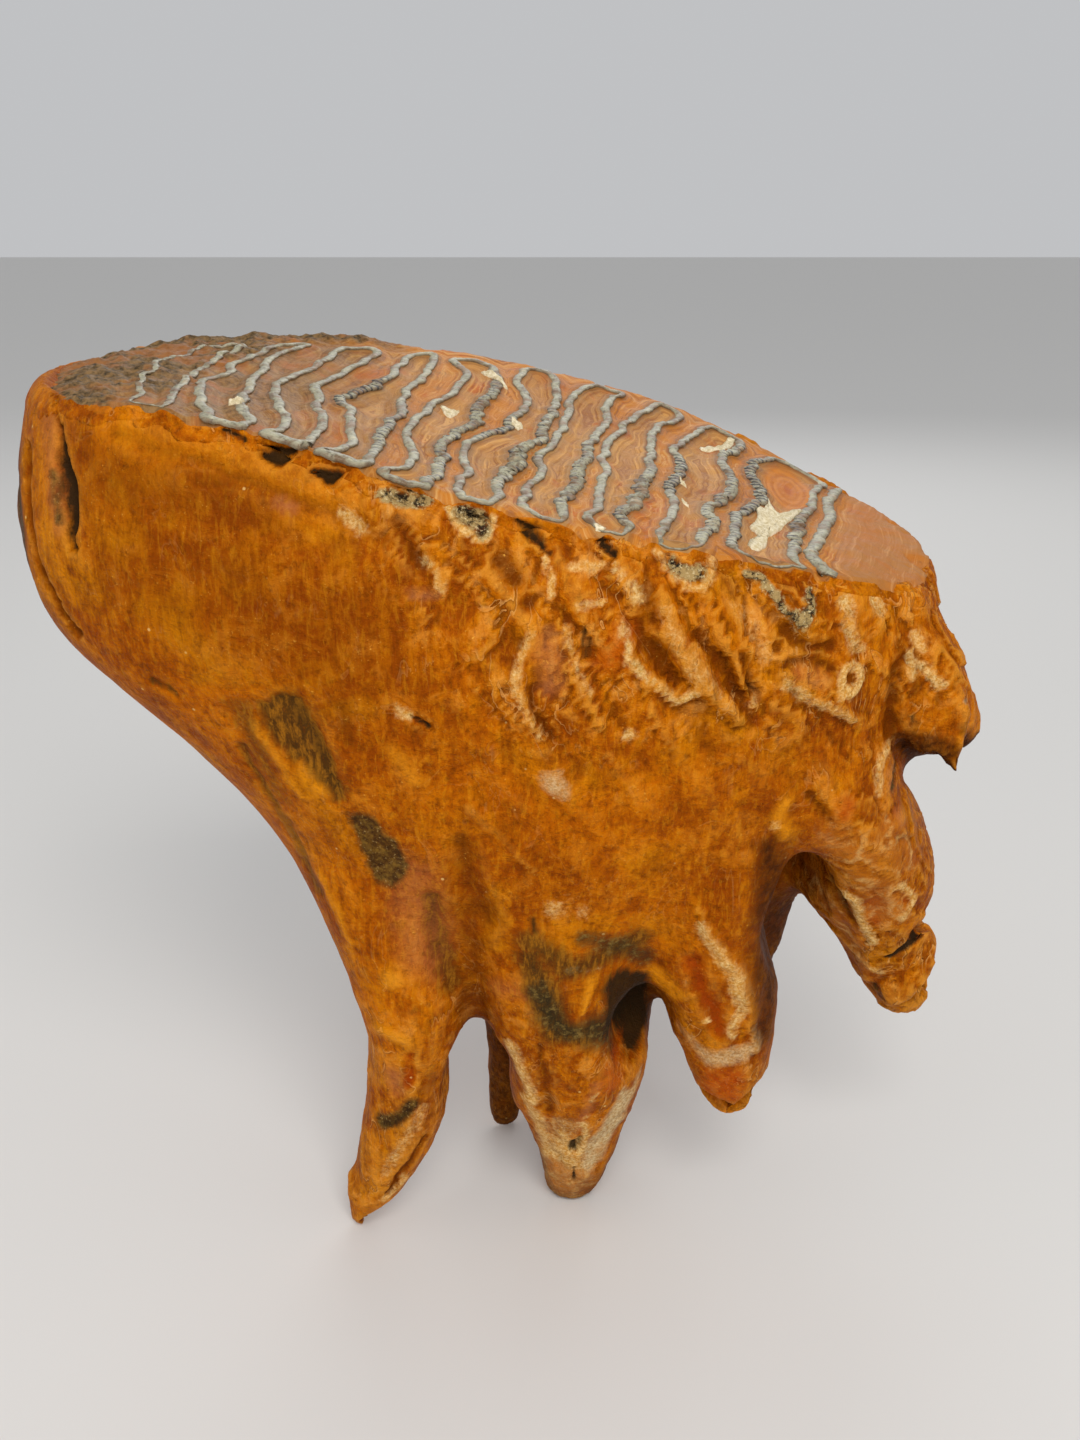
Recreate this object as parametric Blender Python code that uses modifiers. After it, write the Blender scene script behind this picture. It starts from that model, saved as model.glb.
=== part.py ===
"""Fossil mammoth molar, standing on the tips of its roots.

One solid, grown as one piece: a deep crown with a worn, sloping chewing face,
and seven tapering roots in a near and a far row. Metres, +Z up. The crown's
length runs along X, its width along Y, and the floor is Z = 0.
"""

import math

import bmesh
import bpy
from mathutils import Vector

MM = 0.001

# Driving dimensions, in millimetres
CROWN_ROUNDNESS = 2.6     # exponent of the crown's plan outline, 2 is an ellipse
ROOT_ROUNDNESS = 2.1      # exponent of a root's plan outline
RING_SIDES = 20           # points round one section of the cage
FACE_HALF_WIDTH = 38.0    # the two face profiles run at Y = -38 and Y = +38
FACE_DISH = 1.2           # how far the chewing face is hollowed between its rims
VOXEL = 2.0               # grain of the mesh that joins the crown to its roots
SMOOTHING_ROUNDS = 20
FACE_BUDGET = 8400        # triangles left after the mesh is thinned
FLOOR_CUT = (300.0, 200.0, 12.0)  # block below the floor that cuts the root tips flat

# Crown sections from the top down: height, left, right, near, far
CROWN = (
    (186.0, -78.0, 70.0, -35.0, 37.0),
    (168.0, -82.0, 73.5, -38.5, 40.0),
    (151.0, -88.0, 76.0, -41.0, 42.0),
    (138.0, -89.0, 77.5, -42.5, 43.0),
    (125.0, -84.0, 78.0, -43.0, 43.0),
    (112.0, -71.5, 75.5, -42.0, 42.0),
    (100.0, -58.0, 70.5, -39.5, 40.0),
    (88.0, -47.5, 64.0, -36.5, 37.0),
    (76.0, -41.0, 49.0, -33.0, 33.0),
    (66.0, -36.5, 36.0, -29.5, 30.0),
    (57.0, -31.0, 22.0, -25.0, 26.0),
    (51.0, -25.0, 8.0, -20.0, 21.0),
)

# Roots from the top down: height, centre x, centre y, half width x, half width y
ROOTS = {
    "near_back": (
        (92.0, -26.0, -12.0, 15.0, 20.0),
        (74.0, -23.0, -14.0, 14.0, 17.5),
        (56.0, -18.2, -15.5, 12.0, 14.5),
        (43.0, -18.2, -16.0, 9.6, 11.5),
        (30.0, -20.6, -16.5, 8.3, 9.4),
        (18.0, -23.8, -16.0, 7.8, 7.6),
        (10.0, -27.0, -15.4, 6.5, 6.2),
        (3.5, -30.2, -15.0, 4.4, 4.6),
        (-3.0, -32.0, -14.8, 3.0, 3.4),
    ),
    "near_middle": (
        (92.0, 2.0, -12.0, 20.0, 23.0),
        (72.0, 5.0, -13.0, 19.5, 19.5),
        (52.0, 8.0, -14.5, 18.8, 15.6),
        (40.0, 11.0, -13.8, 16.2, 13.2),
        (28.0, 11.7, -11.5, 13.2, 10.8),
        (16.0, 12.0, -8.5, 9.6, 8.8),
        (6.0, 11.8, -6.0, 6.8, 6.4),
        (-4.0, 11.0, -5.0, 4.8, 4.4),
    ),
    "near_front": (
        (100.0, 36.0, -12.0, 17.0, 24.0),
        (84.0, 36.5, -14.0, 16.6, 20.0),
        (68.0, 36.8, -15.0, 15.8, 16.0),
        (56.0, 37.0, -15.0, 13.4, 13.6),
        (48.5, 39.5, -15.0, 10.4, 11.4),
        (41.0, 40.6, -14.5, 9.0, 9.8),
        (34.0, 41.4, -14.0, 7.8, 8.2),
        (28.0, 41.8, -13.5, 6.4, 6.6),
        (24.5, 42.0, -13.4, 4.0, 4.2),
    ),
    "front": (
        (112.0, 50.0, -4.0, 18.0, 33.0),
        (98.0, 54.0, -4.0, 17.0, 31.0),
        (88.0, 60.0, -4.0, 15.4, 27.0),
        (77.0, 65.2, -4.0, 15.4, 21.0),
        (67.0, 69.2, -3.0, 12.8, 16.0),
        (57.0, 72.6, -2.0, 9.2, 11.5),
        (48.5, 76.0, 0.0, 8.8, 8.8),
        (42.0, 77.0, 0.0, 6.6, 6.6),
        (38.5, 77.4, 0.0, 3.0, 3.5),
    ),
    "far_back": (
        (62.0, -8.0, 16.0, 14.0, 14.0),
        (46.0, -3.0, 17.5, 10.0, 10.6),
        (30.0, -1.0, 18.4, 6.6, 7.6),
        (14.0, -1.6, 19.2, 5.2, 5.6),
        (4.0, -2.8, 19.6, 4.2, 4.4),
        (-4.0, -3.6, 19.8, 3.4, 3.6),
    ),
    "far_middle": (
        (68.0, 14.0, 16.0, 17.0, 14.0),
        (50.0, 17.0, 17.0, 12.6, 12.0),
        (34.0, 18.0, 19.0, 8.6, 9.0),
        (18.0, 17.6, 21.0, 6.2, 6.4),
        (6.0, 17.0, 22.2, 4.8, 4.8),
        (-4.0, 16.8, 22.6, 3.8, 3.8),
    ),
    "middle_web": (
        (66.0, 19.0, 2.0, 10.0, 16.0),
        (50.0, 21.4, 2.0, 8.2, 13.0),
        (41.0, 21.5, 2.0, 7.4, 12.0),
        (33.0, 20.4, 1.0, 7.2, 11.0),
        (26.0, 18.4, 0.0, 6.6, 9.0),
        (20.0, 16.5, -2.0, 5.0, 7.0),
    ),
    "far_front": (
        (80.0, 44.0, 12.0, 15.0, 16.0),
        (62.0, 45.5, 13.0, 12.0, 13.0),
        (50.0, 46.0, 13.5, 9.6, 10.0),
        (39.0, 46.2, 14.0, 7.0, 7.4),
        (31.0, 46.2, 14.2, 4.4, 4.6),
    ),
}

# Broken lip on the front end: height, centre x, centre y, half width x, half width y
FRONT_LIP = (
    (127.0, 70.5, -8.0, 6.0, 20.0),
    (118.0, 73.0, -8.0, 7.0, 19.0),
    (110.0, 75.4, -8.0, 8.0, 17.0),
    (103.0, 77.0, -8.0, 7.6, 14.0),
    (98.5, 79.0, -8.0, 4.8, 10.0),
    (95.0, 80.6, -8.0, 1.8, 5.0),
)

# Hollows under the crown: centre x, y, z, then half size x, y, z
HOLLOWS = (
    (-7.0, -16.0, 37.0, 6.5, 16.0, 13.0),
    (23.5, -21.0, 48.5, 6.5, 13.0, 9.5),
    (51.0, -18.0, 73.0, 6.5, 19.0, 15.5),
    (81.0, -10.0, 95.5, 11.5, 32.0, 5.5),
)

# Height of the chewing face along its near and its far rim: x, height
NEAR_PROFILE = (
    (-84.0, 167.0), (-52.0, 163.5), (-30.0, 158.5), (-8.0, 151.0),
    (20.0, 145.5), (46.0, 138.5), (64.0, 134.5), (84.0, 131.0),
)
FAR_PROFILE = (
    (-84.0, 170.5), (-44.0, 170.0), (-22.0, 167.5), (10.0, 162.0),
    (40.0, 152.5), (62.0, 144.0), (72.0, 138.5), (84.0, 131.0),
)

TOOTH_COLOUR = (0.46, 0.19, 0.035, 1.0)


def clear_scene():
    for obj in list(bpy.data.objects):
        bpy.data.objects.remove(obj, do_unlink=True)


def new_collection(name):
    collection = bpy.data.collections.new(name)
    bpy.context.scene.collection.children.link(collection)
    return collection


def fossil_material():
    material = bpy.data.materials.new("stained_cementum")
    material.use_nodes = True
    shader = material.node_tree.nodes["Principled BSDF"]
    shader.inputs["Base Color"].default_value = TOOTH_COLOUR
    shader.inputs["Roughness"].default_value = 0.5
    shader.inputs["Metallic"].default_value = 0.0
    return material


def superellipse(angle, exponent):
    """Point of a unit superellipse, by its angle."""
    c, s = math.cos(angle), math.sin(angle)
    power = 2.0 / exponent
    return math.copysign(abs(c) ** power, c), math.copysign(abs(s) ** power, s)


def ring_points(height, centre, half, exponent):
    """One level section of a loft, as a closed ring of points in metres."""
    points = []
    for k in range(RING_SIDES):
        u, v = superellipse(math.tau * k / RING_SIDES, exponent)
        x, y = centre[0] + half[0] * u, centre[1] + half[1] * v
        points.append(Vector((x, y, height)) * MM)
    return points


def loft(name, rings, collection):
    """Skin a closed solid over rings that run from the top down."""
    bm = bmesh.new()
    loops = [[bm.verts.new(point) for point in ring] for ring in rings]
    for upper, lower in zip(loops, loops[1:]):
        for k in range(RING_SIDES):
            nxt = (k + 1) % RING_SIDES
            bm.faces.new((upper[k], lower[k], lower[nxt], upper[nxt]))
    bm.faces.new(loops[0])
    bm.faces.new(reversed(loops[-1]))
    mesh = bpy.data.meshes.new(name)
    bm.to_mesh(mesh)
    bm.free()
    obj = bpy.data.objects.new(name, mesh)
    collection.objects.link(obj)
    rounding = obj.modifiers.new("rounding", "SUBSURF")
    rounding.levels = 2
    rounding.render_levels = 2
    return obj


def smooth_height(profile, x):
    """Height of a profile at x, eased between its points."""
    if x <= profile[0][0]:
        return profile[0][1]
    for index in range(len(profile) - 1):
        (x0, z0), (x1, z1) = profile[index], profile[index + 1]
        if x <= x1:
            before = profile[max(index - 1, 0)]
            after = profile[min(index + 2, len(profile) - 1)]
            slope0 = (z1 - before[1]) / (x1 - before[0])
            slope1 = (after[1] - z0) / (after[0] - x0)
            t, width = (x - x0) / (x1 - x0), x1 - x0
            return (
                (2 * t**3 - 3 * t**2 + 1) * z0
                + (t**3 - 2 * t**2 + t) * width * slope0
                + (3 * t**2 - 2 * t**3) * z1
                + (t**3 - t**2) * width * slope1
            )
    return profile[-1][1]


def face_height(x, y):
    """Height of the chewing face over a point of the plan, in millimetres."""
    across = (y + FACE_HALF_WIDTH) / (2.0 * FACE_HALF_WIDTH)
    near = smooth_height(NEAR_PROFILE, x)
    far = smooth_height(FAR_PROFILE, x)
    dish = FACE_DISH * max(0.0, 1.0 - (y / FACE_HALF_WIDTH) ** 2)
    return near + (far - near) * across - dish


def make_crown(collection):
    rings = []
    for height, left, right, near, far in CROWN:
        centre = ((left + right) / 2, (near + far) / 2)
        half = ((right - left) / 2, (far - near) / 2)
        rings.append(ring_points(height, centre, half, CROWN_ROUNDNESS))
    return loft("crown_body", rings, collection)


def make_root(name, sections, collection):
    rings = [
        ring_points(height, (x, y), (half_x, half_y), ROOT_ROUNDNESS)
        for height, x, y, half_x, half_y in sections
    ]
    return loft(name, rings, collection)


def make_wear_cutter(collection):
    """Solid above the chewing face: what chewing has worn away."""
    half_length, half_width, top = 105.0, 56.0, 205.0
    bm = bmesh.new()
    bmesh.ops.create_grid(bm, x_segments=48, y_segments=24, size=1.0)
    for vertex in bm.verts:
        x, y = vertex.co.x * half_length, vertex.co.y * half_width
        vertex.co = Vector((x, y, face_height(x, y))) * MM
    raised = bmesh.ops.extrude_face_region(bm, geom=bm.faces[:])
    for item in raised["geom"]:
        if isinstance(item, bmesh.types.BMVert):
            item.co.z = top * MM
    bmesh.ops.recalc_face_normals(bm, faces=bm.faces[:])
    mesh = bpy.data.meshes.new("wear_cutter")
    bm.to_mesh(mesh)
    bm.free()
    return link_cutter(mesh, collection)


def make_hollow(index, collection):
    """Egg-shaped space between two roots, or under the broken lip."""
    x, y, z, half_x, half_y, half_z = HOLLOWS[index]
    bm = bmesh.new()
    bmesh.ops.create_uvsphere(bm, u_segments=32, v_segments=20, radius=1.0)
    for vertex in bm.verts:
        u, v, w = vertex.co
        vertex.co = Vector((x + half_x * u, y + half_y * v, z + half_z * w)) * MM
    mesh = bpy.data.meshes.new(f"hollow_{index + 1}")
    bm.to_mesh(mesh)
    bm.free()
    return link_cutter(mesh, collection)


def make_floor_cutter(collection):
    """Block below the floor, which cuts the root tips flat."""
    mesh = bpy.data.meshes.new("floor_cutter")
    bm = bmesh.new()
    bmesh.ops.create_cube(bm, size=1.0)
    length, width, depth = FLOOR_CUT
    for vertex in bm.verts:
        u, v, w = vertex.co
        vertex.co = Vector((u * length, v * width, (w - 0.5) * depth)) * MM
    bm.to_mesh(mesh)
    bm.free()
    return link_cutter(mesh, collection)


def link_cutter(mesh, collection):
    obj = bpy.data.objects.new(mesh.name, mesh)
    obj.hide_render = True
    obj.display_type = "WIRE"
    collection.objects.link(obj)
    return obj


def evaluated_mesh(obj):
    graph = bpy.context.evaluated_depsgraph_get()
    return bpy.data.meshes.new_from_object(obj.evaluated_get(graph))


def joined_mesh(name, objects):
    """One mesh that holds the finished meshes of several objects."""
    bm = bmesh.new()
    for obj in objects:
        mesh = evaluated_mesh(obj)
        bm.from_mesh(mesh)
        bpy.data.meshes.remove(mesh)
        bpy.data.objects.remove(obj, do_unlink=True)
    mesh = bpy.data.meshes.new(name)
    bm.to_mesh(mesh)
    bm.free()
    return mesh


def subtract(obj, cutter):
    cut = obj.modifiers.new("cut_" + cutter.name, "BOOLEAN")
    cut.operation = "DIFFERENCE"
    cut.solver = "EXACT"
    cut.object = cutter


def triangle_count(mesh):
    return sum(len(polygon.vertices) - 2 for polygon in mesh.polygons)


def fuse(obj):
    """Turn overlapping closed bodies into one skin."""
    joint = obj.modifiers.new("fuse", "REMESH")
    joint.mode = "VOXEL"
    joint.voxel_size = VOXEL * MM


def grow_together(obj, hollows):
    """Fuse the overlapping crown and roots, and soften where they meet."""
    fuse(obj)
    for hollow in hollows:
        subtract(obj, hollow)
    fuse(obj)
    soften = obj.modifiers.new("soften", "SMOOTH")
    soften.factor = 0.5
    soften.iterations = SMOOTHING_ROUNDS
    fused = evaluated_mesh(obj)
    thin = obj.modifiers.new("thin", "DECIMATE")
    thin.ratio = FACE_BUDGET / triangle_count(fused)
    bpy.data.meshes.remove(fused)


def centre_over_origin(mesh):
    """Move the mesh so that its box stands centred over the origin."""
    xs = [vertex.co.x for vertex in mesh.vertices]
    ys = [vertex.co.y for vertex in mesh.vertices]
    shift = Vector((-(min(xs) + max(xs)) / 2, -(min(ys) + max(ys)) / 2, 0.0))
    for vertex in mesh.vertices:
        vertex.co += shift


def make_tooth(parts, cutters):
    crown = make_crown(parts)
    wear = make_wear_cutter(cutters)
    subtract(crown, wear)
    pieces = [crown]
    for name, sections in ROOTS.items():
        pieces.append(make_root(name, sections, parts))
    pieces.append(make_root("front_lip", FRONT_LIP, parts))
    rough = bpy.data.objects.new("rough_tooth", joined_mesh("rough_tooth", pieces))
    parts.objects.link(rough)
    grow_together(rough, [make_hollow(k, cutters) for k in range(len(HOLLOWS))])
    subtract(rough, make_floor_cutter(cutters))
    mesh = evaluated_mesh(rough)
    mesh.name = "mammoth_molar"
    bpy.data.objects.remove(rough, do_unlink=True)
    centre_over_origin(mesh)
    mesh.materials.clear()
    mesh.materials.append(fossil_material())
    mesh.shade_smooth()
    tooth = bpy.data.objects.new("mammoth_molar", mesh)
    parts.objects.link(tooth)
    return tooth


clear_scene()
make_tooth(new_collection("fossil_mammoth_tooth"), new_collection("cutters"))
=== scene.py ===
import math

import bmesh
import bpy
import numpy as np
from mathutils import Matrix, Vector, noise
from mathutils.bvhtree import BVHTree
from mathutils.kdtree import KDTree


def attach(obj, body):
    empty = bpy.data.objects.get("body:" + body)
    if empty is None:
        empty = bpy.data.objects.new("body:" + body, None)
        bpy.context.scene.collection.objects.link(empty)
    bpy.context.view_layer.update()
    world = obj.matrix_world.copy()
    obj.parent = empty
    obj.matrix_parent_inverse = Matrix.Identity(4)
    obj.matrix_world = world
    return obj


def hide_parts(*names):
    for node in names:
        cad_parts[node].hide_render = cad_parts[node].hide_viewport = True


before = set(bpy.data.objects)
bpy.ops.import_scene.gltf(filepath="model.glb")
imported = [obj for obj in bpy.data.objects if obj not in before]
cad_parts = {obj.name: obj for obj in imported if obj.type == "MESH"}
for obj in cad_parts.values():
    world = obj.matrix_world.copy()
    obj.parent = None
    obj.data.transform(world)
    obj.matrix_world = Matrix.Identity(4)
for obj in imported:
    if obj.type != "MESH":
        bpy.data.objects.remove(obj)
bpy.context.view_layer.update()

scene = bpy.context.scene


# ---------------------------------------------------------------------------
# The studio: a pale floor under the root tips, soft light from above the
# viewer and a weak fill from the left, and a camera a little above the tooth.

MM = 0.001
FLOOR_SIZE = 9.0                      # m
FLOOR_COLOUR = (0.70, 0.69, 0.67, 1.0)
SKY_COLOUR = (0.80, 0.81, 0.83, 1.0)
SKY_STRENGTH = 0.66
CAMERA_PLACE = (6.5, -266.1, 196.0)   # mm
CAMERA_PITCH = 19.5                   # degrees below level
CAMERA_LENS = 37.5                    # mm, on a sensor of CAMERA_SENSOR mm
CAMERA_SENSOR = 36.0
CAMERA_NEAREST = 0.01                 # m
TOOTH_MIDDLE = Vector((0.0, 0.0, 0.09))

# Each soft light: its name, its place and size in m, its power in W, its colour
LIGHTS = (
    ("key", (0.12, -0.72, 0.72), 0.45, 6.3, (1.0, 0.98, 0.95)),
    ("fill", (-0.75, -0.35, 0.35), 0.6, 0.6, (0.95, 0.97, 1.0)),
    ("back", (0.1, 0.8, 0.6), 0.6, 1.6, (1.0, 1.0, 1.0)),
)


def new_object(name, data):
    obj = bpy.data.objects.new(name, data)
    scene.collection.objects.link(obj)
    return obj


def new_material(name):
    material = bpy.data.materials.new(name)
    material.use_nodes = True
    tree = material.node_tree
    return material, tree, tree.nodes["Principled BSDF"]


floor_mesh = bpy.data.meshes.new("floor")
bm = bmesh.new()
bmesh.ops.create_grid(bm, x_segments=1, y_segments=1, size=FLOOR_SIZE / 2)
bm.to_mesh(floor_mesh)
bm.free()
floor_paint, _, floor_shader = new_material("pale_floor")
floor_shader.inputs["Base Color"].default_value = FLOOR_COLOUR
floor_shader.inputs["Roughness"].default_value = 0.85
floor_mesh.materials.append(floor_paint)
new_object("floor", floor_mesh)

world = bpy.data.worlds.new("studio")
world.use_nodes = True
sky = world.node_tree.nodes["Background"]
sky.inputs["Color"].default_value = SKY_COLOUR
sky.inputs["Strength"].default_value = SKY_STRENGTH
scene.world = world
scene.view_settings.view_transform = "Standard"

for name, place, size, power, colour in LIGHTS:
    lamp = bpy.data.lights.new(name, "AREA")
    lamp.size = size
    lamp.energy = power
    lamp.color = colour
    lamp_object = new_object(name, lamp)
    lamp_object.location = place
    aim = TOOTH_MIDDLE - Vector(place)
    lamp_object.rotation_euler = aim.to_track_quat("-Z", "Y").to_euler()

camera_data = bpy.data.cameras.new("camera")
camera_data.lens = CAMERA_LENS
camera_data.sensor_width = CAMERA_SENSOR
camera_data.clip_start = CAMERA_NEAREST
camera = new_object("camera", camera_data)
camera.location = Vector(CAMERA_PLACE) * MM
camera.rotation_euler = (math.radians(90.0 - CAMERA_PITCH), 0.0, 0.0)
scene.camera = camera


# ---------------------------------------------------------------------------
# The crown and roots: one mass of mineral-stained cementum over the plates.
# It grew as one body, then cracked, chipped and rubbed, so it starts from the
# imported solid, is remeshed finely, and is carved and stained along given strokes.

# All lengths in the tables and in the shapes below are in mm
SKIN_GRAIN = 0.98          # spacing of the body's points
WELD_GAP = 0.01            # how near the solid's loose corners are to be one
SMOOTHING_ROUNDS = 5
FACE_SINK = 1.6            # how far the body lies under the chewing face
FACE_FLATNESS = 0.73       # how squarely up the skin of the chewing face looks
FACE_LOWEST = 128.0        # the height above which that skin lies
FACE_MIDDLE = np.array((-2.0, -1.0))
FACE_HALF = np.array((78.0, 37.0))
RIM_STEPS = 240            # how many directions the face's rim is measured in
RIM_SMOOTHING = 6
MIDLINE = 6.0              # how far past the middle a flank's strokes reach
STROKE_WANDER = 0.8        # how far noise bends a stroke on the near flank
GUESSED_WANDER = 1.6       # and on the other sides
LOBE_WANDER = 0.7
LOBE_ENDS = 0.35           # a lobe's width at its ends, as a share of its width
FACING = (-0.05, 0.3)      # how squarely skin has to face a side to take its strokes
BREAK_SHARE = 0.97         # how fully a break is brought down to its plane
STAIN_POWER = 0.7          # how a stain fades towards its stroke's edge
CHALK_POWER = 0.5          # and how chalk on the near flank does
FINE_ROUNDS = 3            # how widely small and large hollows are looked for
BROAD_ROUNDS = 30

STAINS = ("dark", "olive", "cream", "bone", "gold", "red", "brown", "pore", "rosy", "fibre",
          "flake", "shade", "smoke")

# How a stroke sees the tooth: the two axes it is drawn in, and the way it faces
SIDES = {
    "near": (0, 2, (0.0, -1.0, 0.0)),
    "far": (0, 2, (0.0, 1.0, 0.0)),
    "left": (1, 2, (-1.0, 0.0, 0.0)),
    "right": (1, 2, (1.0, 0.0, 0.0)),
    "through": (0, 2, None),
}


def read_vectors(mesh, kind):
    """A mesh's points ("co") in m, or its normals ("normal"), one in each row."""
    flat = np.empty(len(mesh.vertices) * 3, np.float32)
    mesh.vertices.foreach_get(kind, flat)
    return flat.reshape(-1, 3).astype(np.float64)


def write_mask(mesh, name, values):
    layer = mesh.attributes.new(name, "FLOAT", "POINT")
    layer.data.foreach_set("value", np.asarray(values, np.float32))


def noise_field(points, wavelength, octaves=2, seed=0.0):
    """Smooth noise of about -1 to 1 at each point, with its wavelength in mm."""
    scaled = points / wavelength + seed * 17.31
    return np.array([noise.fractal(p, 1.0, 2.0, octaves) for p in scaled.tolist()])


def noise_columns(points, wavelength, octaves, seeds):
    return np.stack([noise_field(points, wavelength, octaves, s) for s in seeds], axis=1)


def ease(values, low, high):
    """0 below low, 1 above high, and a smooth step between them."""
    t = np.clip((values - low) / (high - low), 0.0, 1.0)
    return t * t * (3.0 - 2.0 * t)


def path_distance(flat_points, path):
    """Distance to a path, how far along it that is, and which side of it."""
    best = np.full(len(flat_points), 1e9)
    along = np.zeros(len(flat_points))
    side = np.zeros(len(flat_points))
    path = np.asarray(path, float)
    spans = np.linalg.norm(np.diff(path, axis=0), axis=1)
    total = max(spans.sum(), 1e-6)
    passed = 0.0
    for start, end, span in zip(path, path[1:], spans):
        step = end - start
        off = flat_points - start
        t = np.clip((off @ step) / max(span * span, 1e-9), 0.0, 1.0)
        gap = np.linalg.norm(off - t[:, None] * step, axis=1)
        closer = gap < best
        best = np.where(closer, gap, best)
        along = np.where(closer, (passed + t * span) / total, along)
        side = np.where(closer, step[0] * off[:, 1] - step[1] * off[:, 0], side)
        passed += span
    return best, along, side


def inside_outline(flat_points, outline):
    """True for each point inside a closed outline, by the even-odd rule."""
    x, y = flat_points[:, 0], flat_points[:, 1]
    inside = np.zeros(len(flat_points), bool)
    for (x0, y0), (x1, y1) in zip(outline, list(outline[1:]) + [outline[0]]):
        crosses = (y0 > y) != (y1 > y)
        at = x0 + (y - y0) * (x1 - x0) / ((y1 - y0) if y1 != y0 else 1e-9)
        inside ^= crosses & (x < at)
    return inside


class Carving:
    """The points of a mesh in mm, with the stains painted on them."""

    def __init__(self, mesh):
        self.mesh = mesh
        self.points = read_vectors(mesh, "co") / MM
        self.normals = read_vectors(mesh, "normal")
        self.wander = noise_columns(self.points, 5.0, 3, (1, 2, 3))
        self.stains = {name: np.zeros(len(self.points)) for name in STAINS}

    def seen(self, side, wander):
        """Where each point is seen from one side, and how squarely."""
        a, b, way = SIDES[side]
        facing = np.ones(len(self.points))
        if way is not None:
            facing = ease(self.normals @ np.array(way), *FACING)
        if side in ("near", "far"):
            facing = facing * (self.points[:, 1] * way[1] > -MIDLINE)
        return (self.points + self.wander * wander)[:, (a, b)], facing

    def brush(self, path, width, side="near", wander=STROKE_WANDER):
        """Weight of a stroke: 1 along the path, easing out to 0 at its width."""
        flat, facing = self.seen(side, wander)
        if len(path) == 1:
            path = (path[0], (path[0][0] + 0.01, path[0][1]))
        gap, along, _ = path_distance(flat, path)
        widths = np.atleast_1d(width)
        widths = np.interp(along, np.linspace(0, 1, len(widths)), widths)
        return (1.0 - ease(gap / widths, 0.0, 1.0)) * facing

    def patch(self, outline, soft):
        """Weight of a patch: 1 inside an outline, easing out over its soft edge."""
        flat, facing = self.seen("near", 1.0)
        gap, _, _ = path_distance(flat, list(outline) + [outline[0]])
        signed = np.where(inside_outline(flat, outline), gap, -gap)
        return ease(signed, -soft, soft) * facing

    def lobe(self, path, steep, gentle, height, side):
        """Raise a ridge that is steep on its left and gentle on its right."""
        flat, facing = self.seen(side, LOBE_WANDER)
        gap, along, hand = path_distance(flat, path)
        swell = np.sin(math.pi * np.clip(along, 0.04, 0.96))
        width = np.where(hand < 0, steep, gentle) * (LOBE_ENDS + (1 - LOBE_ENDS) * swell)
        self.grow((1.0 - ease(gap / width, 0.0, 1.0)) * facing * height)

    def slice_off(self, centre, normal, reach):
        """Break a piece off flat: what stands over a plane is brought down to it."""
        normal = np.array(normal, float) / np.linalg.norm(normal)
        over = (self.points - centre) @ normal
        close = np.linalg.norm(self.points - centre, axis=1) < reach
        down = np.where(close & (over > 0), over, 0.0)[:, None] * normal
        self.points -= down * BREAK_SHARE

    def grow(self, height):
        """Build the skin up along its normals, or cut in with a negative height."""
        self.points += self.normals * height[:, None]

    def stain(self, name, weight, strength=1.0):
        self.stains[name] = np.maximum(self.stains[name], weight * strength)

    def stroke(self, strokes, side="near", wander=STROKE_WANDER, chalk=STAIN_POWER, within=1.0,
               share=1.0):
        """Carve and stain along many paths: each has its half width, depth and stain."""
        for path, width, depth, stain, strength in strokes:
            weight = self.brush(path, width, side, wander) * within
            self.grow(-weight * (depth * share))
            self.stain(stain, weight ** (chalk if stain == "cream" else STAIN_POWER), strength)

    def renew(self):
        flat = (self.points * MM).astype(np.float32).ravel()
        self.mesh.vertices.foreach_set("co", flat)
        self.mesh.update()
        self.normals = read_vectors(self.mesh, "normal")

    def proud(self, rounds):
        """How far each point stands over its surroundings, in mm."""
        ends = np.empty(len(self.mesh.edges) * 2, np.int32)
        self.mesh.edges.foreach_get("vertices", ends)
        one, two = ends[::2], ends[1::2]
        count = len(self.points)
        links = np.bincount(one, minlength=count) + np.bincount(two, minlength=count)
        soft = self.points.copy()
        for _ in range(rounds):
            total = np.empty_like(soft)
            for axis in range(3):
                total[:, axis] = (np.bincount(one, soft[two, axis], count)
                                  + np.bincount(two, soft[one, axis], count))
            soft = 0.5 * soft + 0.5 * total / links[:, None]
        return ((self.points - soft) * self.normals).sum(axis=1)

    def finish(self):
        self.renew()
        for name, values in self.stains.items():
            write_mask(self.mesh, name, values)


def settle(obj):
    """Apply an object's modifiers: its evaluated mesh becomes its own mesh."""
    graph = bpy.context.evaluated_depsgraph_get()
    mesh = bpy.data.meshes.new_from_object(obj.evaluated_get(graph))
    mesh.name = obj.name
    obj.modifiers.clear()
    old, obj.data = obj.data, mesh
    bpy.data.meshes.remove(old)


def lump(bm, centre, half, lean, sides=24):
    """Add an egg-shaped lump, leaning in the XZ plane by some degrees."""
    made = bmesh.ops.create_uvsphere(bm, u_segments=sides, v_segments=sides // 2, radius=1.0)
    c, s = math.cos(math.radians(lean)), math.sin(math.radians(lean))
    for vertex in made["verts"]:
        x, y, z = (a * b for a, b in zip(vertex.co, half))
        vertex.co = Vector((x * c - z * s, y, x * s + z * c)) + Vector(centre)


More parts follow.
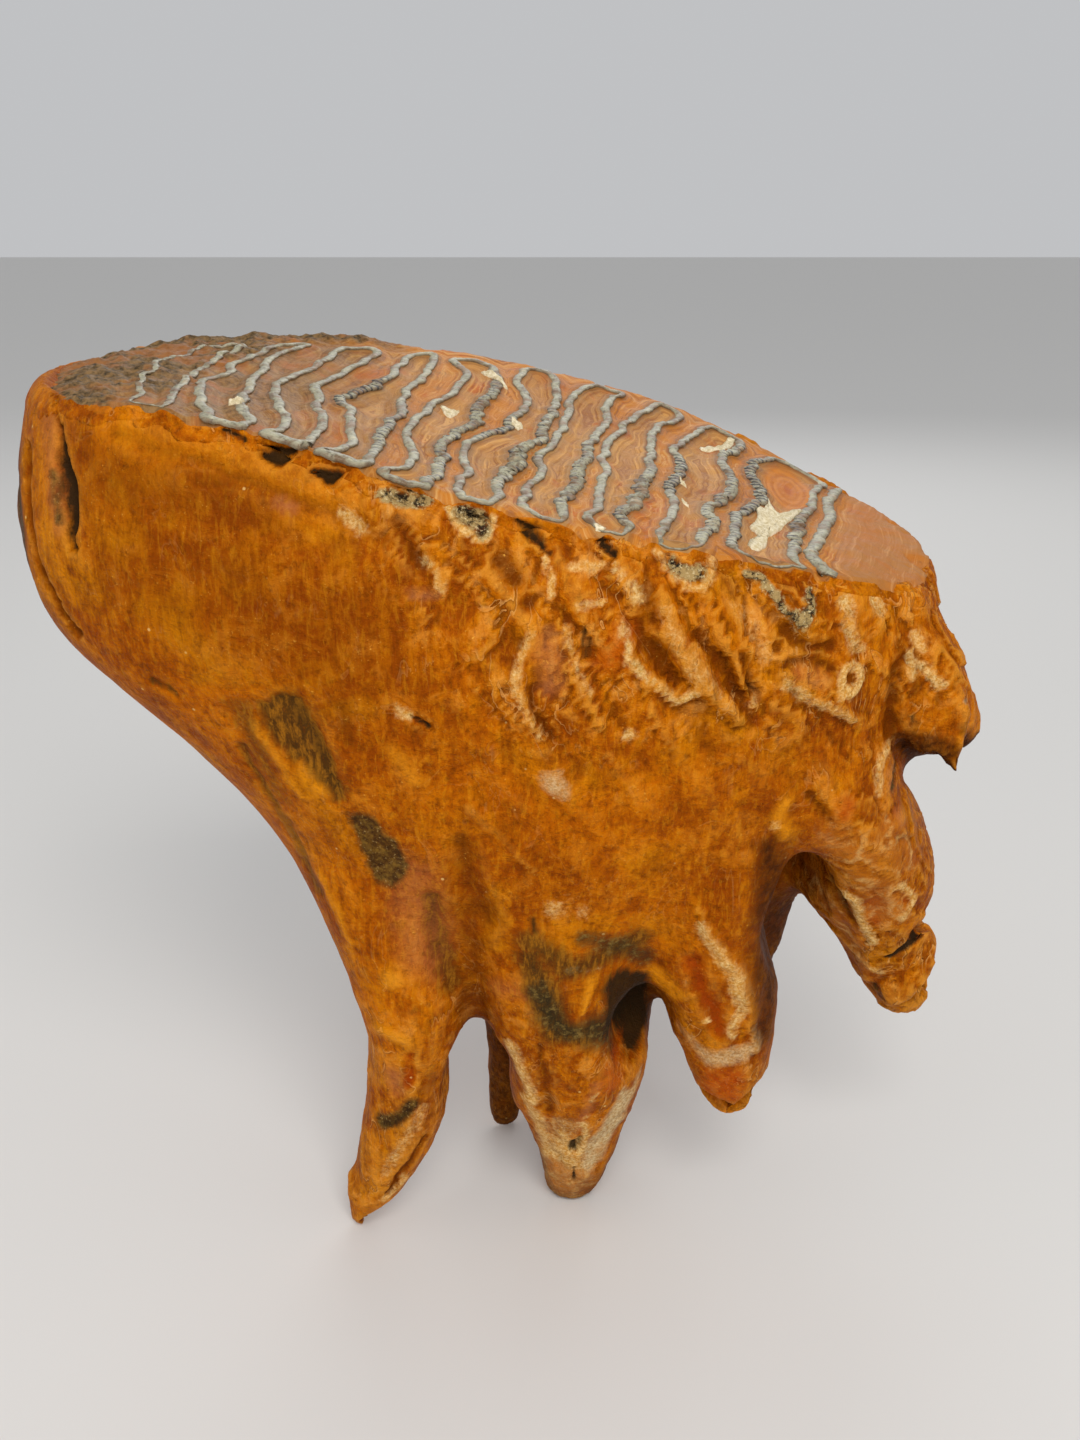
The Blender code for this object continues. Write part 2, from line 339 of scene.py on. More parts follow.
def slab(bm, outline, near, far, fall=0.0):
    """Add a flat plate: an outline in x and z, from one y to another, falling away."""
    front = [bm.verts.new((x, near, z - near * fall)) for x, z in outline]
    back = [bm.verts.new((x, far, z - far * fall)) for x, z in outline]
    faces = [bm.faces.new(front), bm.faces.new(list(reversed(back)))]
    for k in range(len(outline)):
        nxt = (k + 1) % len(outline)
        faces.append(bm.faces.new((front[nxt], front[k], back[k], back[nxt])))
    bmesh.ops.recalc_face_normals(bm, faces=faces)


def fine_body(node, name):
    """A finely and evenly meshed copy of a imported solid, with its broken edges."""
    obj = new_object(name, bpy.data.meshes.new(name))
    bm = bmesh.new()
    bm.from_mesh(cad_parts[node].data)
    bmesh.ops.remove_doubles(bm, verts=bm.verts, dist=WELD_GAP * MM)
    bm.to_mesh(obj.data)
    bm.free()
    rounding = obj.modifiers.new("rounding", "SUBSURF")
    rounding.levels = rounding.render_levels = 2
    settle(obj)

    cutter = new_object("cutter", bpy.data.meshes.new("cutter"))
    bm = bmesh.new()
    for outline, near, far, fall in CUTS:
        slab(bm, outline, near, far, fall)
    bmesh.ops.scale(bm, vec=(MM, MM, MM), verts=bm.verts)
    bm.to_mesh(cutter.data)
    bm.free()
    cutting = obj.modifiers.new("cutting", "BOOLEAN")
    cutting.operation = "DIFFERENCE"
    cutting.solver = "EXACT"
    cutting.object = cutter
    settle(obj)
    bpy.data.meshes.remove(cutter.data)

    bm = bmesh.new()
    for centre, half, lean in LUMPS:
        lump(bm, centre, half, lean)
    for outline, near, far in PLATES:
        slab(bm, outline, near, far)
    bmesh.ops.scale(bm, vec=(MM, MM, MM), verts=bm.verts)
    bm.from_mesh(obj.data)
    bm.to_mesh(obj.data)
    bm.free()
    remesh = obj.modifiers.new("remesh", "REMESH")
    remesh.mode = "VOXEL"
    remesh.voxel_size = SKIN_GRAIN * MM
    smoothing = obj.modifiers.new("smoothing", "SMOOTH")
    smoothing.factor = 0.5
    smoothing.iterations = SMOOTHING_ROUNDS
    settle(obj)
    return obj


# Broken-off ends that stand proud: centre, half size, lean in degrees
LUMPS = (
    ((77.5, -6, 52.5), (4.6, 5.5, 8.2), -32),
    ((80, -6, 56.2), (3.9, 5.2, 6.8), -8),
    ((-30, -15.5, 6.5), (1.6, 2.4, 6.8), 6),
)

# Thin broken plates: outline in x and z, then the y of the near and far faces
PLATES = (
    (((66, 122), (73, 124), (77.5, 118), (80.2, 112), (80.3, 106.5), (79, 100.2), (76.6, 103),
      (74.2, 104.8), (72.4, 103), (70.8, 105.6), (67, 107)), -25, -16),
)

# Wedges broken out right through: outline in x and z, the y of both ends, and
# how much the wedge falls in z as it goes back in y
CUTS = (
    (((72.6, 55.4), (76, 57.6), (79.2, 59.6), (82.6, 59.2), (92, 58.6), (92, 78), (82.4, 74.7),
      (81.2, 70.7), (79.4, 65.5), (78.4, 62.1), (75.6, 59.6)), -45, 45, 0.35),
)

body = fine_body("mammoth_molar", "tooth_body")
skin = Carving(body.data)
height = skin.points[:, 2]
lengthwise = skin.points[:, 0]
crosswise = skin.points[:, 1]

# The worn face is kept smooth: it is measured here, before anything is carved
face_up = skin.normals[:, 2]
wear_tree = BVHTree.FromObject(body, bpy.context.evaluated_depsgraph_get())
on_face = (face_up > FACE_FLATNESS) & (height > FACE_LOWEST)
flat_face = (skin.points[on_face][:, :2] - FACE_MIDDLE) / FACE_HALF
turns = np.arctan2(flat_face[:, 1], flat_face[:, 0])
rim = np.zeros(RIM_STEPS)
np.maximum.at(rim, ((turns / math.tau) % 1.0 * RIM_STEPS).astype(int) % RIM_STEPS,
              np.linalg.norm(flat_face, axis=1))
for _ in range(RIM_SMOOTHING):
    rim = (np.roll(rim, 1) + rim + np.roll(rim, -1)) / 3.0


def rim_radius(turn):
    """The rim's distance from the face's middle, at a turn of 0 to 1."""
    place = turn % 1.0 * RIM_STEPS
    low = np.floor(place).astype(int)
    share = place - low
    return rim[low % RIM_STEPS] * (1 - share) + rim[(low + 1) % RIM_STEPS] * share


def rim_reach(flat_points):
    """How far out a plan point lies: 0 in the middle of the face, 1 on its rim."""
    scaled = (flat_points - FACE_MIDDLE) / FACE_HALF
    turn = np.arctan2(scaled[:, 1], scaled[:, 0]) / math.tau
    return np.linalg.norm(scaled, axis=1) / rim_radius(turn)


in_face = ease(0.99 - rim_reach(skin.points[:, :2]), 0.0, 0.03) * ease(face_up, 0.3, 0.6)
in_face *= height > FACE_LOWEST - 3.0
open_skin = 1.0 - in_face

# Broken root tips and facets: a point on the break, the way it faces, its reach
BREAKS = (
    ((20, -22, 26), (0.75, -0.60, -0.25), 15),
    ((17, -14, 3), (0.72, -0.30, -0.62), 8),
    ((7, -14, 3), (-0.75, -0.35, -0.55), 7),
    ((12, -19, 8), (0.1, -0.93, -0.30), 10),
    ((38, -22, 34), (-0.45, -0.25, -0.85), 9),
    ((46.5, -20, 34.5), (0.75, -0.25, -0.55), 9),
    ((-23, -17, 7.5), (0.62, -0.35, -0.70), 9),
    ((-32, -16, 6), (-0.93, -0.30, -0.15), 7),
    ((70.5, -8, 45.5), (-0.62, -0.30, -0.72), 8),
    ((84, -6, 53), (0.90, -0.20, -0.35), 9),
    ((79, -6, 49.5), (0.8, -0.1, -0.6), 4.5),
    ((-1, 22, 6), (-0.3, 0.8, -0.5), 7),
    ((20, 24, 8), (0.7, 0.4, -0.6), 7),
    ((50, 16, 36), (0.6, 0.4, -0.7), 8),
    ((45, 11, 35), (-0.6, -0.5, -0.6), 7),
)
for centre, normal, reach in BREAKS:
    skin.slice_off(centre, normal, reach)
skin.renew()

# Uneven growth: broad swells, then knobs, rougher towards the front and roots
far_side = ease(crosswise, -4.0, 12.0)
patchy = noise_field(skin.points, 24.0, 3, 17.0)
front_crown = ease(lengthwise + 0.5 * (height - 120.0), -16.0, 6.0) * ease(height, 104, 122)
far_crown = far_side * ease(height + patchy * 16.0, 98.0, 148.0) * ease(patchy, -0.5, 0.5) * 0.8
rough_zone = front_crown * (1 - far_side) + far_crown
rooty = ease(-height, -75.0, -45.0)
front_root = ease(lengthwise, 50.0, 58.0) * ease(-height, -112.0, -104.0)
bumpy = 0.20 + 0.70 * rough_zone + 0.60 * rooty + 0.5 * front_root
bumpy = np.clip(bumpy, 0.0, 1.0) * open_skin
skin.grow(noise_field(skin.points, 26.0, 2, 4.0) * 0.9 * open_skin)
skin.grow(noise_field(skin.points * (1.0, 1.0, 0.75), 8.5, 2, 5.0) * 0.6 * bumpy)

# The plates show through the skin as low ribs that lean forward as they go down
RIB_SPACING = 10.6
RIB_HEIGHT = 0.4
RIB_LEAN = 0.60
lean_place = lengthwise + RIB_LEAN * (height - 140.0) + skin.wander[:, 0] * 1.6
rib_zone = ease(lengthwise, -14.0, 6.0) * ease(height, 84.0, 108.0) * open_skin
far_ribs = 1.9 * far_side * ease(height + patchy * 10.0, 80.0, 126.0) * open_skin
rib_zone = np.maximum(rib_zone, far_ribs)
skin.grow(np.cos(lean_place / RIB_SPACING * math.tau) * RIB_HEIGHT * rib_zone)
skin.renew()

# Lobes of the plates: path in x and z, steep and gentle width, height
NEAR_LOBES = (
    (((24.4, 137), (26.6, 130.4), (30.4, 124.6), (34.4, 119.4), (38.6, 115.4)), 2.6, 5, 1.6),
    (((18.6, 132), (21, 126.4), (24.8, 122), (28.2, 119.8), (31, 120.6)), 1.7, 3, 0.9),
    (((34.2, 132), (36.8, 126.6), (38.4, 121.6), (40.6, 117.6)), 2, 3.6, 1),
    (((41, 131), (43.6, 126.4), (44.4, 121.4)), 2, 6, 0.8),
    (((4.8, 131.5), (3.5, 126), (2.8, 122), (4.2, 117.6), (6.4, 113.6)), 1.5, 3.2, 0.7),
    (((9, 133), (11.4, 127.4), (13, 122.2), (15.2, 116.6)), 2, 3.6, 0.9),
    (((16.6, 139.6), (20.2, 138.4), (21.6, 135)), 1.4, 2.2, 0.7),
    (((-11.6, 143), (-9.8, 140.4), (-8.6, 137)), 1.4, 3.4, 0.7),
    (((6.8, 142.4), (7.8, 139.4), (8.8, 136.4)), 1.2, 1.8, 0.5),
    (((46, 122), (50.8, 118.4), (54.2, 116.4), (58.4, 113.2)), 1.6, 5, 1),
    (((-5.6, 99.6), (-0.2, 94.6), (5, 88.2)), 2.4, 5, 0.7),
    (((34, 78), (36.8, 71.6), (41.4, 64), (44.2, 56.4), (46.4, 45)), 2.4, 3.6, 1.1),
    (((66, 125.6), (69.2, 120.4), (69.9, 115)), 2, 1.6, 0.6),
)
FAR_LOBES = (
    (((-52, 156), (-48, 146), (-45, 136), (-44, 126)), 2.2, 5, 1.2),
    (((-30, 152), (-26, 143), (-21, 134)), 2, 4.4, 1.1),
    (((-6, 149), (-2, 139), (3, 131), (5, 122)), 2.2, 5, 1.4),
    (((14, 145), (18, 136), (24, 127)), 2, 4.6, 1.2),
    (((32, 139), (36, 129), (42, 121), (45, 112)), 2.2, 5, 1.5),
    (((50, 131), (55, 122), (58, 113)), 2, 4.4, 1.2),
    (((22, 104), (27, 96), (31, 87)), 2.4, 5, 1),
)
for side, lobes in (("near", NEAR_LOBES), ("far", FAR_LOBES)):
    for path, steep, gentle, rise in lobes:
        skin.lobe(path, steep, gentle, rise, side)
        skin.renew()

# The lobes are layered: thin sheets end in low steps, some mm apart
down_lobe = np.column_stack((lengthwise * 0.85 + height * 0.53, crosswise * 0.5,
                             height * 0.30 - lengthwise * 0.19))
sheets = noise_field(down_lobe, 9.0, 2, 15.0) * 2.6
sheets += noise_field(skin.points, 2.4, 2, 16.0) * 0.14
sheet_zone = np.clip(rough_zone + 0.6 * front_root, 0.0, 1.0) * open_skin
skin.grow((np.mod(sheets, 1.0) - 0.5) * 0.8 * sheet_zone)
skin.renew()

# Rills run down the lobes and the roots; the rest is finely dimpled
skin.grow(noise_field(down_lobe, 2.7, 3, 12.0) * 0.22 * rough_zone * open_skin)
skin.grow(noise_field(skin.points * (1.0, 1.0, 0.2), 2.2, 2, 13.0) * 0.15 * rooty)
skin.grow(noise_field(skin.points, 2.6, 3, 6.0) * 0.20 * bumpy)
skin.renew()

# Strokes on the near flank: path in x and z, half width, depth, stain, strength
NEAR_STROKES = (
    # the fissure near the back end, and the hair crack above it
    (((-71.6, 165), (-70.8, 162), (-70.2, 159)), 0.9, 0.6, "brown", 0.8),
    (((-70.4, 160), (-69.8, 156.4), (-69.3, 151.4), (-68.6, 146), (-68.4, 142)),
      (0.9, 2.4, 3, 2, 0.9), 2.6, "dark", 1),
    (((-72.6, 161), (-71.8, 152), (-71.2, 145)), 2.4, 0, "rosy", 0.7),
    (((-71.6, 152.4), (-71, 146)), 1.8, 0, "olive", 0.8),
    (((-82, 156), (-82.6, 142), (-81.6, 130), (-78.4, 118), (-75, 111)),
      (2.6, 4.4, 4.4, 3, 2), 0, "brown", 1),
    (((-81.6, 150), (-81.8, 140), (-79.8, 130), (-76.6, 121)),
      (1.6, 2.6, 2.2, 1.4), 0.4, "smoke", 0.8),
    # the seam round the shell on the back end
    (((-77.8, 156), (-78.2, 149), (-77.6, 141), (-75.6, 135), (-73.2, 130),
      (-70, 126)), 1.3, 1.3, "brown", 1),
    # the step under the rim, and dull spots on it
    (((-59, 160), (-45.6, 156.6), (-36, 153.4), (-25.5, 149.8),
      (-18, 146)), 2.4, 0.6, "brown", 0.5),
    (((-57.7, 155.2),), 1.5, 0.3, "dark", 0.5),
    (((-46, 153.4), (-42, 153)), 1.6, 0.3, "brown", 0.9),
    (((-33, 150.6), (-30.6, 149.8)), 1.2, 0.3, "rosy", 0.9),
    (((-57, 119.8), (-53.4, 118)), 1.7, 0.6, "dark", 0.5),
    (((-23.4, 149.6), (-21, 146.6)), 1.2, 0.2, "cream", 0.7),
    # gully and pale edge under the fourth loop
    (((-15, 148), (-13.2, 145), (-11.8, 142)), 2.2, 1.2, "brown", 0.9),
    (((-11.4, 142.6), (-9.8, 140.4), (-8.8, 137.6)), 0.9, -0.2, "cream", 0.6),
    (((-13, 137.3), (-9, 137.2)), 1.1, 0.2, "rosy", 1),
    (((0.4, 142.6), (2.8, 139.8)), 2.6, 0.8, "brown", 0.8),
    (((4.8, 136.2),), 2.2, 1, "brown", 0.8),
    # fibre lines down the back root
    (((-43.3, 108.5), (-38, 93), (-33, 78)), 1.8, 0.5, "fibre", 0.7),
    (((-38.5, 95), (-35.6, 85)), 1.2, -0.35, "gold", 0.8),
    (((-32.2, 83), (-29, 75), (-27, 70)), 1.3, -0.3, "gold", 0.8),
    (((-27.9, 68),), 2, 0, "gold", 0.9),
    (((-40, 114), (-33, 100)), 1.5, -0.4, "gold", 0.7),
    # pit with a pale edge
    (((-16, 117.9), (-14.6, 117)), 1.3, 0, "cream", 0.7),
    (((-14, 116.9), (-11, 115)), 1, 1, "dark", 0.7),
    (((-17.6, 111), (-13.6, 105)), 2, -0.3, "gold", 0.6),
    (((-25.4, 118), (-24.2, 112)), 2.2, 0.3, "brown", 0.8),
    # folds between the two back roots
    (((-6.6, 92), (-5.6, 83), (-2.6, 76)), 4.2, 1.2, "brown", 0.6),
    (((-12.4, 80), (-11.4, 69), (-9.6, 60)), 3.4, 1.2, "fibre", 0.6),
    (((-6.4, 76), (-6.4, 62), (-5, 50)), 6, 1.9, "brown", 0.55),
    # between the lobes of the plates on the front half
    (((19.2, 131.6), (21.2, 126.2), (25, 121.8), (28.2, 119.6),
      (31, 120.6)), 1, -0.2, "cream", 0.85),
    (((21.6, 132.2), (23.8, 127.8), (27.4, 123)), 1.7, 1, "brown", 0.8),
    (((20.4, 129.4), (22.4, 125.4)), 1, 0.2, "olive", 0.6),
    (((25.6, 134.6), (28.2, 128.4), (31.6, 123)), 1.8, 0, "cream", 0.42),
    (((31, 131), (33.8, 127.8), (35.8, 125.4), (36.8, 121.8), (39, 119)), 1.3, 1, "brown", 1),
    (((38.6, 126.2), (39.8, 122.6), (40.8, 119.6)), 1.3, 1.4, "brown", 1),
    (((39.9, 121.6), (40.4, 120.6)), 1.1, 1.2, "dark", 1),
    (((40.6, 118.4),), 1, -0.2, "cream", 0.8),
    (((17.8, 141), (20.9, 138.4), (21.8, 135.6)), 0.9, 0, "cream", 0.75),
    (((22.6, 138), (23.6, 133)), 2.4, 0.6, "brown", 0.7),
    (((4.6, 131), (3.5, 126), (2.7, 122), (4.2, 117.8), (6.2, 114)), 1, 0, "cream", 0.6),
    (((4.6, 121.6), (5.8, 117.8), (8.2, 114)), 1.2, 0.8, "brown", 0.9),
    (((10.4, 131.6), (12.4, 126), (14, 121)), 1.1, 0, "cream", 0.45),
    (((12.8, 131), (14.2, 127.4)), 1.3, 1, "dark", 0.6),
    (((7.6, 129.6), (8.4, 122.6)), 3, 0.2, "rosy", 0.9),
    (((19.6, 130.4), (17, 126.6)), 3.6, 0, "red", 0.8),
    (((20, 113.4), (21.4, 113.3)), 0.9, -0.2, "cream", 1),
    (((11, 141.4), (16, 141.2)), 0.8, -0.2, "cream", 0.8),
    (((12.6, 135.4), (16.4, 135.2)), 0.9, -0.3, "cream", 0.8),
    (((45.2, 130.4), (49.8, 126.8), (53.2, 126.6)), 1.8, 1.1, "brown", 0.9),
    (((46.4, 124.6), (50.3, 124.6), (53.6, 123)), 1.6, 0.8, "brown", 0.8),
    # the ledge and the ring at the front
    (((45.8, 121.3), (50.6, 118), (54.2, 116.2), (58.2, 113.3)), 1.2, 0, "cream", 0.7),
    (((48, 122.6), (52, 121)), 1.8, 0, "rosy", 0.6),
    (((57, 122.6), (58.6, 121.8), (59.2, 120.2), (58.6, 118.6), (57, 117.9), (55.6, 118.6),
      (55, 120.2), (55.6, 121.8), (57, 122.6)), 1, -0.6, "cream", 1),
    (((57, 120.2),), 1.3, 0.7, "brown", 0.9),
    (((55.8, 130.2), (58.2, 125.6)), 1.7, 0, "cream", 0.6),
    # chips under the front of the rim
    (((55.8, 133.8), (57.2, 131.6)), 1.4, 0.9, "cream", 0.9),
    (((60.9, 133.6), (62.7, 131)), 1.5, 0.9, "cream", 0.8),
    (((66.4, 124.6), (69.4, 119.8), (69.9, 115.4)), 1.2, 0.5, "brown", 0.9),
    # flecks
    (((7.2, 142), (7.8, 139.4), (8.8, 136.8)), 0.9, -0.1, "cream", 0.8),
    (((14.1, 140.8),), 1.2, -0.2, "cream", 0.7),
    (((20.7, 138.8), (22.2, 137.2)), 1, -0.2, "cream", 0.7),
    # the back root: bright knobs, a red groove, a dark stain, yellow bands
    (((-20.1, 63.5),), 3, -0.6, "gold", 0.7),
    (((-23, 51), (-18.4, 50.4)), 2.6, -0.5, "gold", 0.7),
    (((-17.3, 46.4), (-17.6, 39)), 1.3, 0.9, "red", 1),
    (((-20.8, 42), (-20.2, 38)), 2.6, 0, "rosy", 0.9),
    (((-23.4, 29.6), (-20.4, 31), (-17.6, 34.2)), 2.8, 0.3, "olive", 1),
    (((-23.2, 29.2), (-20, 30.6), (-18, 33.4)), 1.8, 0, "dark", 0.55),
    (((-15.6, 33), (-19.4, 24.4), (-23.4, 17)), 1.8, 0.4, "cream", 0.45),
    (((-15, 26), (-19.4, 18), (-23, 11)), 1, 0.8, "brown", 0.9),
    (((-19.6, 15), (-24, 8.6)), 1, -0.3, "cream", 0.6),
    # the middle root: the hollow darkened as painted shade, its tongue and the streaks below
    (((23.4, 60), (24.4, 52), (24.8, 44)), 5, 0, "dark", 1),
    (((21, 62), (20, 54), (22, 46)), 4.4, 0, "dark", 0.85),
    (((16.4, 52.4), (19.6, 49)), 5, 0, "smoke", 1),
    (((4.6, 68), (7.4, 60), (9, 52), (15, 50.6)), (4.6, 5.6, 5.2, 4.6), 0, "fibre", 1),
    (((6, 62), (8.6, 55), (13, 51.6)), 3.4, 0, "smoke", 0.95),
    (((14, 72.6), (19.4, 70.6), (25.4, 66)), (2.4, 3.6, 3), 0, "smoke", 0.8),
    (((24, 71), (18, 68), (12, 66), (5, 72)), 4.2, 0, "fibre", 0.9),
    (((15.4, 63), (14.8, 60), (14.1, 56.4)), (1.9, 1.5, 0.6), -0.3, "gold", 1),
    (((12, 66), (17, 65.6)), 0.8, -0.2, "cream", 0.7),
    (((1.4, 47.6), (3.6, 40), (5, 33)), 1.7, -0.3, "cream", 0.85),
    (((3.8, 33), (6, 27), (7.6, 20), (7.4, 13)), (1.6, 2.2, 2, 1.4), -0.2, "cream", 0.85),
    (((2.8, 41), (4.4, 36)), 1.6, 0, "rosy", 0.8),
    (((16.8, 38.6), (15.9, 33), (13.6, 26)), 1.4, 0, "rosy", 0.9),
    (((10.6, 24), (12.4, 19.4), (11.4, 14.6)), 1.2, -0.3, "cream", 0.95),
    (((14.8, 27), (15.4, 21), (13.8, 15.6)), 1.3, -0.3, "cream", 0.9),
    (((8.6, 9), (11.6, 12.6), (15.4, 9.6)), 1.5, -0.3, "cream", 0.95),
    (((9.2, 4.6), (11.6, 7.4), (14.2, 3.4)), 1.6, -0.2, "cream", 0.95),
    (((10, 16), (10.4, 11.6)), 1, 0.7, "brown", 1),
    (((13.4, 12.4), (12.8, 8)), 0.9, 0.8, "dark", 0.8),
    (((14.6, 23), (13.6, 18.4)), 1, 0.6, "olive", 0.9),
    (((6.3, 48), (7.4, 38), (8.2, 31)), 1.5, 0.6, "brown", 0.8),
    (((20.9, 43), (19, 38)), 3, 0, "red", 0.8),
    (((16.9, 36.6), (16.8, 34.6)), 0.7, 0, "cream", 1),
    (((15.1, 29.1),), 0.8, 0, "cream", 1),
    (((11, 27), (10, 20), (12.4, 11)), 3.6, 0, "cream", 0.5),
    (((7.6, 24), (8.6, 14)), 2.2, 0.2, "rosy", 0.7),
    (((12.7, 21), (12.9, 19)), 1.3, 1.1, "dark", 0.9),
    (((8.4, 16),), 1.4, 0.5, "brown", 0.9),
    (((8.9, 79.3),), 3, -0.2, "cream", 0.55),
    (((14, 78.5),), 2.4, -0.2, "cream", 0.4),
    (((5.2, 76.4), (5.4, 74.6)), 2, 0.3, "dark", 0.6),
    (((-1, 61), (6, 60)), 3.4, 0, "rosy", 0.45),
    # the short front root: a pale ridge, a red groove and a pale collar
    (((34.2, 75), (37.3, 69.7), (40.8, 64), (42.9, 55.6), (41.8, 48.6)),
      (1.2, 1.9, 2.1, 1.8, 1), 0, "cream", 0.8),
    (((38, 67), (41.4, 60)), 1.2, 0, "gold", 0.7),
    (((33.6, 66), (37.2, 57), (39.8, 50)), 2.8, 1.1, "red", 0.9),
    (((34.6, 62), (37.6, 55), (40.4, 49)), 2, 0.3, "brown", 0.9),
    (((27.6, 62), (30.6, 58)), 2.4, 0, "gold", 0.9),
    (((36.6, 52.4), (37.4, 51.8)), 0.7, -0.2, "cream", 1),
    # the front root
    (((47.6, 99), (46.6, 95.6), (48.6, 92.6)), 2.1, -0.5, "gold", 1),
    (((46.4, 94.6),), 1.4, 0, "cream", 0.6),
    (((51.4, 100.6), (53.4, 98), (56.2, 94.6)), 1.1, 0.6, "brown", 0.9),
    (((58.1, 99), (57.6, 96.6)), 2.6, 0, "red", 0.9),
    (((65.9, 106.8), (64.2, 103.4), (64, 99)), 1.2, -0.3, "cream", 0.65),
    (((66.5, 101),), 2, -0.2, "gold", 0.7),
    (((68.4, 101.6), (67.6, 98.4)), 1.2, 0.4, "olive", 0.9),
    (((69.8, 93.3),), 2.2, -0.3, "gold", 0.6),
    (((68.4, 89.6), (72.2, 87.4)), 1, 0.5, "olive", 0.6),
    (((70.4, 87.4), (73.2, 83.6)), 2.6, 0, "flake", 0.9),
    (((61.6, 76.4), (63.4, 75), (65.4, 70.4), (67.4, 66), (68.6, 62.6)), 1.3, -0.5, "cream", 1),
    (((55.4, 84.4), (60, 76), (64.4, 68)), 0.9, 0.4, "olive", 0.6),
    (((60.2, 76), (63.6, 69)), 1.4, 0.7, "brown", 0.9),
    (((66.6, 75.4), (68.6, 70)), 2, 0.3, "red", 0.7),
    (((68.9, 77.6), (71, 78.8), (74.4, 74.2), (72.4, 69.4)), 0.9, -0.5, "cream", 0.9),
    (((68.9, 77.6), (70.2, 72), (72.4, 69.4)), 0.8, -0.4, "cream", 0.8),
    (((72.4, 74.2),), 1.4, 0.3, "red", 1),
    (((58, 74), (62, 68), (66, 60), (69, 53)), 2, 0.4, "flake", 0.8),
    (((57, 92), (63, 84), (70, 72)), 6, 0, "flake", 0.75),
    (((66, 92), (70, 84)), 4, 0, "flake", 0.7),
    # the seam above the broken knob at its tip
    (((72.4, 58.4), (74, 60.4), (76.2, 62.4), (79, 64.6)), (1, 1.5, 1.8, 2), 0.6, "dark", 1),
    (((71, 50), (73, 46.6)), 1.4, 0.6, "dark", 0.6),
    (((69.4, 55), (72.6, 54)), 1, -0.2, "cream", 0.6),
    # the lip
    (((68.4, 122.6), (69, 118.6)), 1.1, -0.2, "cream", 0.8),
    (((70.4, 120.4), (72, 119.2), (74.2, 117)), 1.3, -0.3, "cream", 1),
    (((69.4, 125.4), (70.8, 123.8)), 1.2, -0.2, "cream", 0.8),
    (((56.4, 130), (57.4, 126.4)), 1.5, 0, "cream", 0.6),
    (((66.4, 101.4), (67.4, 98.4)), 1.5, 0, "rosy", 1),
    (((68.6, 94.6), (69.6, 91.8)), 1.5, 0, "rosy", 0.9),
    (((68.4, 107.6), (71, 107), (74, 106.4), (76.8, 105), (79, 102.6)),
      (1.5, 2.2, 2.2, 2.1, 1.5), 0.5, "shade", 1),
    (((70.6, 120),), 0.9, 0.6, "dark", 0.7),
    (((70.1, 111.6), (71.2, 109.6)), 1.5, 0.7, "olive", 0.8),
    (((79.2, 113.6),), 1, 0.6, "bone", 0.7),
    (((66.2, 121), (65.8, 114), (66.6, 108)), 2.2, 0.9, "brown", 0.8),
)

# Strokes on the far flank, the back end and the front end, guessed
FAR_STROKES = (
    (((-50, 158), (-46, 146), (-44, 134), (-45, 122)), 2.2, 0.8, "brown", 0.7),
    (((-38, 155), (-35, 145), (-31, 136)), 2, 0.7, "brown", 0.6),
    (((-18, 152), (-13, 140), (-9, 128)), 2.4, 0.9, "brown", 0.7),
    (((8, 147), (12, 136), (17, 126), (18, 116)), 2.2, 0.9, "brown", 0.8),
    (((27, 141), (32, 130), (37, 121)), 2, 1, "brown", 0.8),
    (((46, 133), (51, 123), (54, 114)), 2.2, 1, "brown", 0.8),
    (((-60, 148), (-57, 139), (-56, 128), (-52, 116)), 0.9, 1.2, "dark", 0.9),
    (((20, 112), (24, 104), (24, 94), (27, 86)), 0.9, 1, "dark", 0.8),
    (((-6, 148), (-2, 139), (3, 130)), 1, 0, "cream", 0.7),
    (((31, 138), (35.6, 129), (41, 121)), 1, 0, "cream", 0.7),
    (((-29, 151), (-26, 143), (-22, 136)), 1, 0, "cream", 0.5),
    (((-4, 112), (2, 110), (5, 105)), 2.6, 0, "bone", 0.55),
    (((42, 104), (45, 99)), 2.2, 0, "bone", 0.5),
    (((-36, 108), (-30, 96), (-25, 84)), 2.6, 0.4, "fibre", 0.8),
    (((-44, 112), (-38, 100)), 3, 0, "olive", 0.8),
    (((12, 92), (10, 84)), 3.2, 0.2, "olive", 0.7),
    (((-2, 90), (-6, 76), (-12, 62)), 5, 1, "brown", 0.5),
    (((9, 76), (9, 62), (9, 50)), 5, 1.6, "brown", 0.7),
    (((32, 76), (33, 62)), 5, 1.4, "brown", 0.7),
    (((18, 58), (20, 44), (20, 28)), 1.4, 0.8, "red", 0.9),
    (((24, 60), (24, 44), (22, 26)), 1.4, -0.3, "cream", 0.5),
    (((-6, 48), (-4, 34), (-2, 20)), 1.4, -0.3, "cream", 0.5),
    (((0, 44), (0, 28)), 1.2, 0.7, "brown", 0.9),
    (((-22, 78), (-20, 66)), 3, -0.4, "gold", 0.8),
    (((44, 78), (48, 64), (50, 50)), 1.6, 0.8, "red", 0.8),
    (((50, 70), (52, 56)), 1.6, -0.3, "cream", 0.5),
    (((60, 96), (66, 84), (74, 70)), 5, 0.3, "flake", 0.8),
    (((18, 10), (19, 4)), 4, 0.2, "flake", 0.9),
    (((-2, 12), (-1, 4)), 3.6, 0.2, "flake", 0.9),
)
